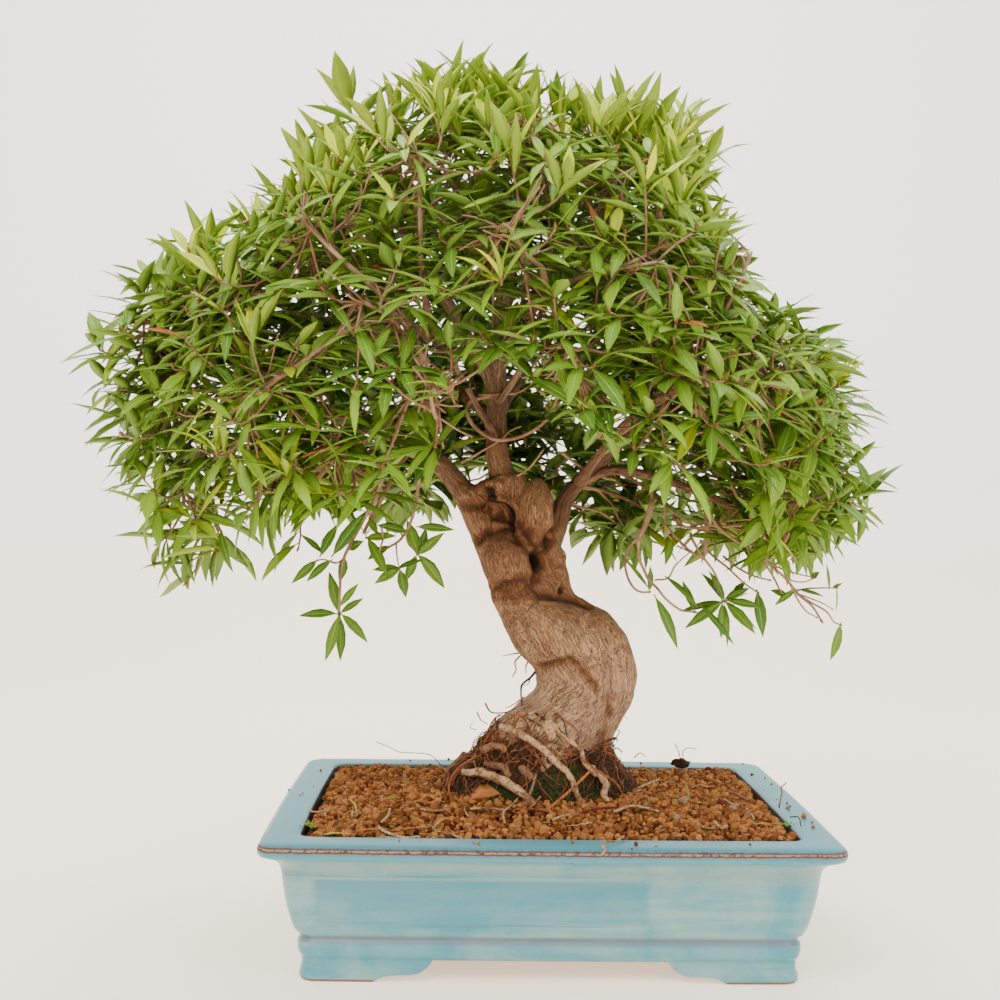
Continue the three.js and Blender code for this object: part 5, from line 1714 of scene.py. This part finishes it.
drawnTwigs = {
    14: [
        ([705, 505, 718, 527, 735, 540, 752, 550, 768, 563, 786, 579, 800, 596, 812, 606, 821, 620],
         -30, 1.6),
        ([764, 560, 780, 568, 798, 574, 812, 577], -28, 1.1),
        ([764, 562, 774, 578, 780, 590, 785, 596], -24, 1.1),
        ([790, 584, 798, 600, 806, 611, 816, 617], -34, 1.0),
        ([797, 594, 812, 603, 827, 612, 834, 622, 841, 625], -26, 1.1),
        ([796, 593, 812, 599, 824, 604, 832, 609], -20, 0.9),
        ([776, 570, 790, 580, 803, 582, 815, 578], -36, 0.9),
        ([723, 556, 738, 568, 754, 576, 769, 580], -22, 1.2),
        ([786, 594, 804, 589, 820, 588, 836, 588], -30, 1.1),
        ([731, 484, 742, 505, 756, 524, 767, 539, 776, 546, 787, 549], -44, 1.5),
        ([700, 540, 712, 555, 728, 568, 744, 583, 757, 592], -14, 1.3),
        ([790, 560, 800, 556, 815, 554, 822, 550], -40, 0.8),
    ],
    15: [
        ([652, 490, 651, 512, 641, 535, 630, 546, 625, 560, 628, 578, 634, 588, 641, 592, 649, 592],
         -44, 1.5),
        ([652, 500, 646, 520, 639, 540, 639, 558, 644, 570, 649, 580, 657, 588, 667, 600, 681, 610,
          694, 612], -50, 1.6),
        ([664, 498, 665, 518, 667, 533, 672, 540], -40, 1.0),
        ([690, 535, 700, 553, 714, 572, 721, 590, 722, 602], -22, 1.4),
        ([722, 602, 735, 598, 745, 594], -20, 0.8),
        ([655, 580, 668, 578, 675, 566, 690, 552], -36, 1.0),
    ],
    46: [
        ([575, 486, 600, 490, 630, 501, 655, 514], (44, 90), 2.3),
        ([588, 469, 612, 471, 640, 484, 662, 503], (62, 96), 2.2),
        ([597, 489, 612, 505, 622, 524, 640, 536], (58, 84), 1.4),
        ([566, 500, 583, 508, 598, 511, 612, 520], (28, 50), 1.5),
        ([604, 456, 620, 452, 641, 457, 660, 470], (88, 110), 1.8),
    ],
    19: [
        ([384, 470, 378, 492, 369, 510, 359, 528, 350, 545, 344, 558, 341, 572, 340, 590, 339, 614],
         -42, 1.9),
        ([345, 558, 336, 563, 326, 560, 319, 560, 313, 563], -40, 1.0),
        ([370, 508, 369, 520, 366, 532, 366, 538], -44, 0.9),
        ([372, 506, 373, 520, 368, 532], -38, 0.8),
        ([420, 470, 417, 495, 413, 515, 407, 530, 399, 541, 389, 547], -50, 1.7),
        ([406, 531, 408, 543, 414, 550, 417, 554], -46, 1.0),
        ([396, 543, 397, 556, 399, 568], -52, 0.9),
        ([381, 525, 383, 538, 381, 546, 379, 553], -56, 1.1),
    ],
}
# the pixels of the foot and of the tip, the half width and the depth
drawnLeaves = {
    14: [
        (840, 625, 830, 661, 5.2, -26), (829, 588, 826, 562, 1.8, -30), (836, 588, 835, 615, 2.0, -30),
        (834, 587, 843, 583, 1.6, -28), (795, 590, 774, 606, 3.2, -34), (787, 549, 803, 537, 6.0, -44),
        (790, 551, 806, 560, 3.6, -42), (813, 577, 820, 572, 3.0, -28), (757, 592, 763, 638, 6.0, -14),
        (744, 583, 730, 600, 4.0, -14), (786, 596, 770, 590, 4.2, -24), (800, 590, 825, 597, 2.4, -32),
    ],
    15: [
        (655, 597, 678, 650, 5.4, -50), (700, 605, 735, 646, 3.4, -50), (697, 607, 662, 574, 5.0, -52),
        (694, 610, 682, 580, 3.6, -50), (648, 588, 621, 555, 2.4, -44), (722, 602, 684, 629, 5.0, -24),
        (722, 602, 679, 612, 4.2, -20), (722, 604, 721, 639, 4.6, -22), (724, 604, 727, 648, 3.6, -18),
        (726, 603, 756, 635, 6.0, -22), (727, 602, 757, 630, 3.0, -16), (724, 600, 708, 570, 4.6, -22),
        (721, 599, 700, 572, 4.6, -18), (726, 599, 750, 588, 4.4, -20), (728, 601, 764, 608, 4.6, -24),
        (649, 590, 650, 565, 3.6, -46), (672, 540, 665, 566, 3.6, -40),
    ],
    19: [
        (336, 614, 298, 616, 5.0, -42), (338, 611, 329, 571, 5.4, -40), (341, 605, 359, 583, 3.6, -44),
        (342, 612, 364, 598, 3.4, -38), (342, 615, 368, 643, 4.8, -44), (338, 617, 325, 662, 5.0, -46),
        (340, 617, 340, 662, 4.8, -40), (322, 553, 300, 534, 3.4, -38), (321, 555, 339, 523, 5.2, -42),
        (333, 555, 367, 510, 6.0, -44), (316, 561, 291, 584, 4.4, -40), (331, 561, 306, 582, 4.4, -36),
        (344, 558, 339, 583, 5.0, -40), (350, 549, 364, 541, 4.6, -38), (369, 520, 378, 536, 3.6, -44),
        (367, 538, 397, 536, 4.4, -46), (368, 539, 388, 577, 5.4, -48), (399, 569, 374, 584, 4.6, -52),
        (398, 568, 372, 570, 4.0, -50), (400, 571, 406, 598, 5.2, -54), (399, 568, 424, 560, 4.0, -52),
        (418, 554, 445, 532, 4.6, -46), (418, 555, 445, 589, 6.4, -44), (416, 556, 405, 582, 4.6, -48),
        (417, 552, 407, 520, 6.0, -46), (419, 553, 426, 527, 5.0, -44), (418, 527, 455, 530, 4.4, -48),
        (407, 532, 376, 525, 5.0, -50), (389, 547, 367, 560, 4.6, -50), (413, 515, 402, 490, 5.6, -50),
    ],
}


def addSpurs(twigs, side, sideTangents, *keys):
    for spur in range(branching["spurs"]):
        place = int(between(1, 7, 58, *keys, spur))
        way = unit(sideTangents[place] * 0.5 + [swing(1, 59, *keys, spur), swing(1, 46, *keys, spur),
                                                between(-0.7, 1, 47, *keys, spur)])
        reach = between(16, 44, 48, *keys, spur)
        end = side[place] + way * reach
        if roomAt(end)[0] > crown["spurInset"]:
            bow = side[place] + way * reach * 0.5 + np.array([0, 0, swing(5, 49, *keys, spur)])
            path = arc(side[place], bow, end, np.linspace(0, 1, 4))
            addTube(twigs, path, [1.15, 1.0, 0.9, 0.8], 3, tone=0.15)


def addShoot(twigs, side, sideTangents, shoot, index, k):
    end, out, inner = shoot
    distances = np.linalg.norm(side[2:] - end, axis=1)
    step = 2 + int(np.clip(distances.argmin() - between(0, 2.4, 55, index, k), 0, 5))
    foot = side[step]
    reach = np.linalg.norm(end - foot)
    if reach < 12:
        return []
    upward = 0.25 + 0.8 * smoothStep(300, 460, end[2])
    lean = np.array([swing(0.4, 56, index, k), swing(0.4, 57, index, k), upward])
    axis = unit(unit(end - foot) * 0.35 + out * 0.45 + lean)
    middle = (foot + sideTangents[step] * reach * 0.4) * 0.35 + (end - axis * reach * 0.5) * 0.65
    path = arc(foot, middle, end, np.linspace(0, 1, 6))
    addTube(twigs, path, np.linspace(1.2, 0.8, 6), 4, tone=0.3)
    addTube(twigs, [end, end + axis * 2.2, end + axis * 5.2], [0.85, 1.2, 0.4], 4, True, tone=1.0)
    return whorl(index, k, path, axis, end, inner)


def sprayTwigs(index, twigs):  # the spray's own branch, its side twigs and shoots; gives their leaves
    usual = crown["frontShoots" if sprayTips[index][1] < crown["frontFrom"] else "shoots"]
    shoots, outward = shootEnds(index, bareSprays.get(index, usual))
    last = branching["bareShare"] if index in bareSprays else 1
    shares = np.linspace(branching["trunkShare"] - 0.005, last, 12)
    sway = [swing(4, key, index) for key in (50, 51, 52)]
    path = arc(*branches[index], shares) + np.sin(np.linspace(0, math.pi, 12))[:, None] * sway
    radii = np.interp(shares, [branching["trunkShare"], 1], branching["radii"][1:])
    addTube(twigs, path, radii, 7, True, tone=0)
    tangents = unit(np.gradient(path, axis=0))
    ends = np.array([shoot[0] for shoot in shoots]).reshape(-1, 3)
    offsets = ends - sprayTips[index]
    order = np.argsort(np.arctan2(offsets @ np.cross(outward, (0, 0, 1)), offsets[:, 2]))
    leaves = []
    for group, members in enumerate(np.array_split(order, branching["sideTwigs"])):
        if len(members) == 0:
            continue
        goal = ends[members].mean(0) * 0.75 + path[-1] * 0.25 - outward * 14
        spot = int(between(2, 11, 53, index, group))
        start = path[spot]
        distance = np.linalg.norm(goal - start)
        lift = np.array([swing(0.12, 54, index, group), 0, 0.1])
        control = start + tangents[spot] * distance * 0.4 + lift * distance
        side = arc(start, control, goal, np.linspace(0, 1, 8))
        sideTangents = unit(np.gradient(side, axis=0))
        addTube(twigs, side, np.linspace(radii[spot] * 0.85, 1.25, 8), 6, tone=0.1)
        addSpurs(twigs, side, sideTangents, index, group)
        for k in members:
            leaves += addShoot(twigs, side, sideTangents, shoots[k], index, int(k))
    return leaves


def makeSpray(index):
    twigs = Pile()
    leaves = keptLeaves(sprayTwigs(index, twigs))
    for pixels, depth, radius in drawnTwigs.get(index, ()):
        depths = np.linspace(*np.broadcast_to(depth, 2), len(pixels) // 2)
        depths += [swing(5, 45, index, k) for k in range(len(depths))]
        line = fibreLine(throughPixels(pixels, depths), 4)
        addTube(twigs, line, np.linspace(radius, radius * 0.6, len(line)), 6, tone=0.05)
        bud = [line[-1], line[-1] * 1.6 - line[-2] * 0.6]
        addTube(twigs, bud, [radius * 0.95, radius * 0.7], 5, True, tone=1.0)
    for k, (footX, footY, tipX, tipY, halfWidth, depth) in enumerate(drawnLeaves.get(index, ())):
        tip = atDepth((tipX, tipY), depth + between(-14, 10, 144, index, k))
        foot = atDepth((footX, footY), depth)
        foot = foot - unit(tip - foot) * 2.4
        leaves.append(placedLeaf(foot, tip, halfWidth, index * 100 + k, between(0, 0.4, 145, index, k)))
    if leaves:
        pile = Pile()
        addLeaves(pile, leaves)
        finished(pile.mesh(), f"leaves_{index + 1:02d}", leafSkin, [sprayNodes[index]])
    finished(twigs.mesh(), f"twigs_{index + 1:02d}", twigSkin, [sprayNodes[index]])
    return len(leaves)


def whorl(index, k, shoot, axis, end, inner):
    fewest, most = crown["innerLeaves" if inner else "leaves"]
    count = int(between(fewest, most + 0.99, 60, index, k))
    first = unit(np.cross(axis, (0.3, 0.1, 1.0)))
    second = np.cross(axis, first)
    room = roomAt(end)[0]
    upper = smoothStep(crown["youngAbove"] - 60, crown["youngAbove"] + 40, end[2])
    edge = smoothStep(170, 50, room)
    isYoung = not inner and draw(62, index, k) < 0.05 + 0.07 * edge + 0.8 * upper * smoothStep(100, 55, room)
    # painted shade and light: leaves on the inner shoots are darker, and those near the crown's outline are
    # lighter
    shootLight = between(0, 0.3, 63, index, k) if inner else between(0.12, 0.75, 63, index, k) + 0.22 * edge
    turn = between(0, 6.28, 64, index, k)
    leaves = []
    for leaf in range(count):
        key = (index, k, leaf)
        share = leaf / max(count - 1, 1)
        fresh = isYoung and leaf < 5
        angle = turn + golden * leaf + swing(0.25, 65, *key)
        radial = first * math.cos(angle) + second * math.sin(angle)
        back = (share ** 1.3) * crown["leafRow"]
        walk = np.interp(back, [0, 40], [1, max(0, 1 - 40 / max(np.linalg.norm(end - shoot[0]), 41))])
        place = walk * (len(shoot) - 1)
        low = min(int(place), len(shoot) - 2)
        spread = math.radians(between(34, 62, 66, *key) + 42 * share) * (0.62 if fresh else 1)
        sag = between(-0.1, 0.32, 67, *key) + 0.3 * smoothStep(470, 330, end[2])
        droop = 0.45 - sag * 0.15 if fresh else -sag
        length = between(*crown["leafLength"], 71, *key) * (0.72 + 0.28 * min(1, (leaf + 1) / 3))
        length *= 1 - 0.14 * smoothStep(-20, -160, end[1])
        young = between(0.6, 1.0, 72, *key) * (1 - 0.13 * leaf) if fresh else 0.0
        if not fresh and draw(73, *key) < 0.05:
            young = between(0.2, 0.6, 74, *key)
        isBroad = inner or draw(81, *key) < crown["broadShare"]
        halfWidth = crown["broadHalfWidth"] if isBroad else between(*crown["leafHalfWidth"], 76, *key)
        leaves.append({
            "foot": shoot[low] + (shoot[low + 1] - shoot[low]) * (place - low),
            "way": unit(axis * math.cos(spread) + radial * math.sin(spread) + np.array([0, 0, droop])),
            "up": axis * 0.55 + np.array([swing(0.35, 69, *key), swing(0.35, 70, *key), 0.75])
                  + radial * swing(0.3, 68, *key),
            "length": length, "halfWidth": halfWidth * (length / 55) ** 0.5,
            "bend": between(0.12, 0.85, 77, *key), "twist": swing(0.5, 78, *key),
            "phase": between(0, 6.28, 79, *key), "young": young,
            # painted light: leaves higher in the crown are lighter
            "light": np.clip(shootLight + between(-0.25, 0.3, 75, *key) + 0.15 * upper, 0, 1),
            "dry": 1.0 if draw(80, *key) < 0.006 else 0,
        })
    return leaves


def keptLeaves(leaves):  # those that show inside the outline and clear of the window
    if not leaves:
        return leaves
    tips = leafTips(leaves)
    deep = np.abs(tips[:, 1]) > crown["deepest"]
    covering = (roomAt(tips, "window") > 4) & (tips[:, 1] < crown["windowDepth"])
    dropped = (roomAt(tips) < -crown["outside"]) | deep | covering
    return [leaf for leaf, drop in zip(leaves, dropped) if not drop]


def makeColumnTwigs():
    pile = Pile()
    for pixels, depths, radius in columnTwigs:
        path = fibreLine(throughPixels(pixels, np.linspace(*depths, len(pixels) // 2)), 5)
        addTube(pile, path, np.linspace(radius, radius * 0.7, len(path)), 8, tone=0.1)
    return finished(pile.mesh(), "looped_twig", twigSkin, ["trunk"])


makeBranches()
makeColumnTwigs()
leafCount = sum(makeSpray(index) for index in range(len(sprayTips)))
print("crown made", leafCount, "leaves")


# Light, floor and camera

studio = {
    "reach": 9, "gap": 0.0004, "wallFrom": 1.2, "bend": 0.9, "wallTop": 4.5, "air": (0.93, 0.97, 1.0, 1),
    "airLight": 0.66,
    # place, aim, size, power and colour
    "lights": {
        "key": ((-0.9, -1.5, 2.0), (-0.05, 0, 0.45), (1.6, 1.2), 52, (1.0, 0.985, 0.96)),
        "fill": ((1.6, -1.3, 1.0), (0, 0, 0.4), (1.2, 1.2), 20, (0.97, 0.98, 1.0)),
        "backdrop": ((0, 0.9, 2.6), (0, 2.0, 0.6), (2.4, 0.6), 30, (1.0, 0.99, 0.98)),
        "top": ((0.1, 0.3, 2.4), (0, 0, 0.5), (2.0, 1.6), 34, (1.0, 1.0, 1.0)),
    },
}


def addLight(name, place, aim, size, power, colour):
    light = bpy.data.lights.new(name, "AREA")
    light.shape = "RECTANGLE"
    light.size, light.size_y = size
    light.energy = power
    light.color = colour
    lamp = linked(name, light)
    lamp.location = place
    lamp.rotation_euler = (Vector(aim) - Vector(place)).to_track_quat("-Z", "Y").to_euler()


def makeStage():
    gap, bend, wallFrom = studio["gap"], studio["bend"], studio["wallFrom"]
    profile = [(-studio["reach"], -gap), (wallFrom, -gap)]
    profile += [(wallFrom + bend * math.sin(angle), bend - gap - bend * math.cos(angle))
                for angle in np.linspace(0.1, math.pi / 2, 12)]
    profile += [(wallFrom + bend, studio["wallTop"])]
    points = [(x, y, z) for x in (-studio["reach"], studio["reach"]) for y, z in profile]
    count = len(profile)
    mesh = bpy.data.meshes.new("sweep")
    mesh.from_pydata(points, [], [(k, k + 1, k + 1 + count, k + count)[::-1] for k in range(count - 1)])
    sweep = linked("sweep", mesh)
    mesh.materials.append(makeMaterial("floor", floorLook, Roughness=0.9, Specular_IOR_Level=0.1,
                                       Emission_Strength=1.0))
    mesh.polygons.foreach_set("use_smooth", np.full(len(mesh.polygons), True))

    world = bpy.context.scene.world or bpy.data.worlds.new("studio")
    bpy.context.scene.world = world
    world.use_nodes = True
    background = world.node_tree.nodes["Background"]
    background.inputs["Color"].default_value = studio["air"]
    background.inputs["Strength"].default_value = studio["airLight"]
    for name, light in studio["lights"].items():
        addLight(name, *light)


def makeCamera():
    camera = linked("camera", bpy.data.cameras.new("camera"))
    camera.data.lens = view["lens"]
    camera.data.sensor_width = view["sensor"]
    camera.data.clip_start = 0.05
    turned = Matrix((viewRight, viewUp, -viewForward)).transposed().to_4x4()
    turned.translation = Vector(toMetres(view["place"]))
    camera.matrix_world = turned
    bpy.context.scene.camera = camera


makeStage()
makeCamera()
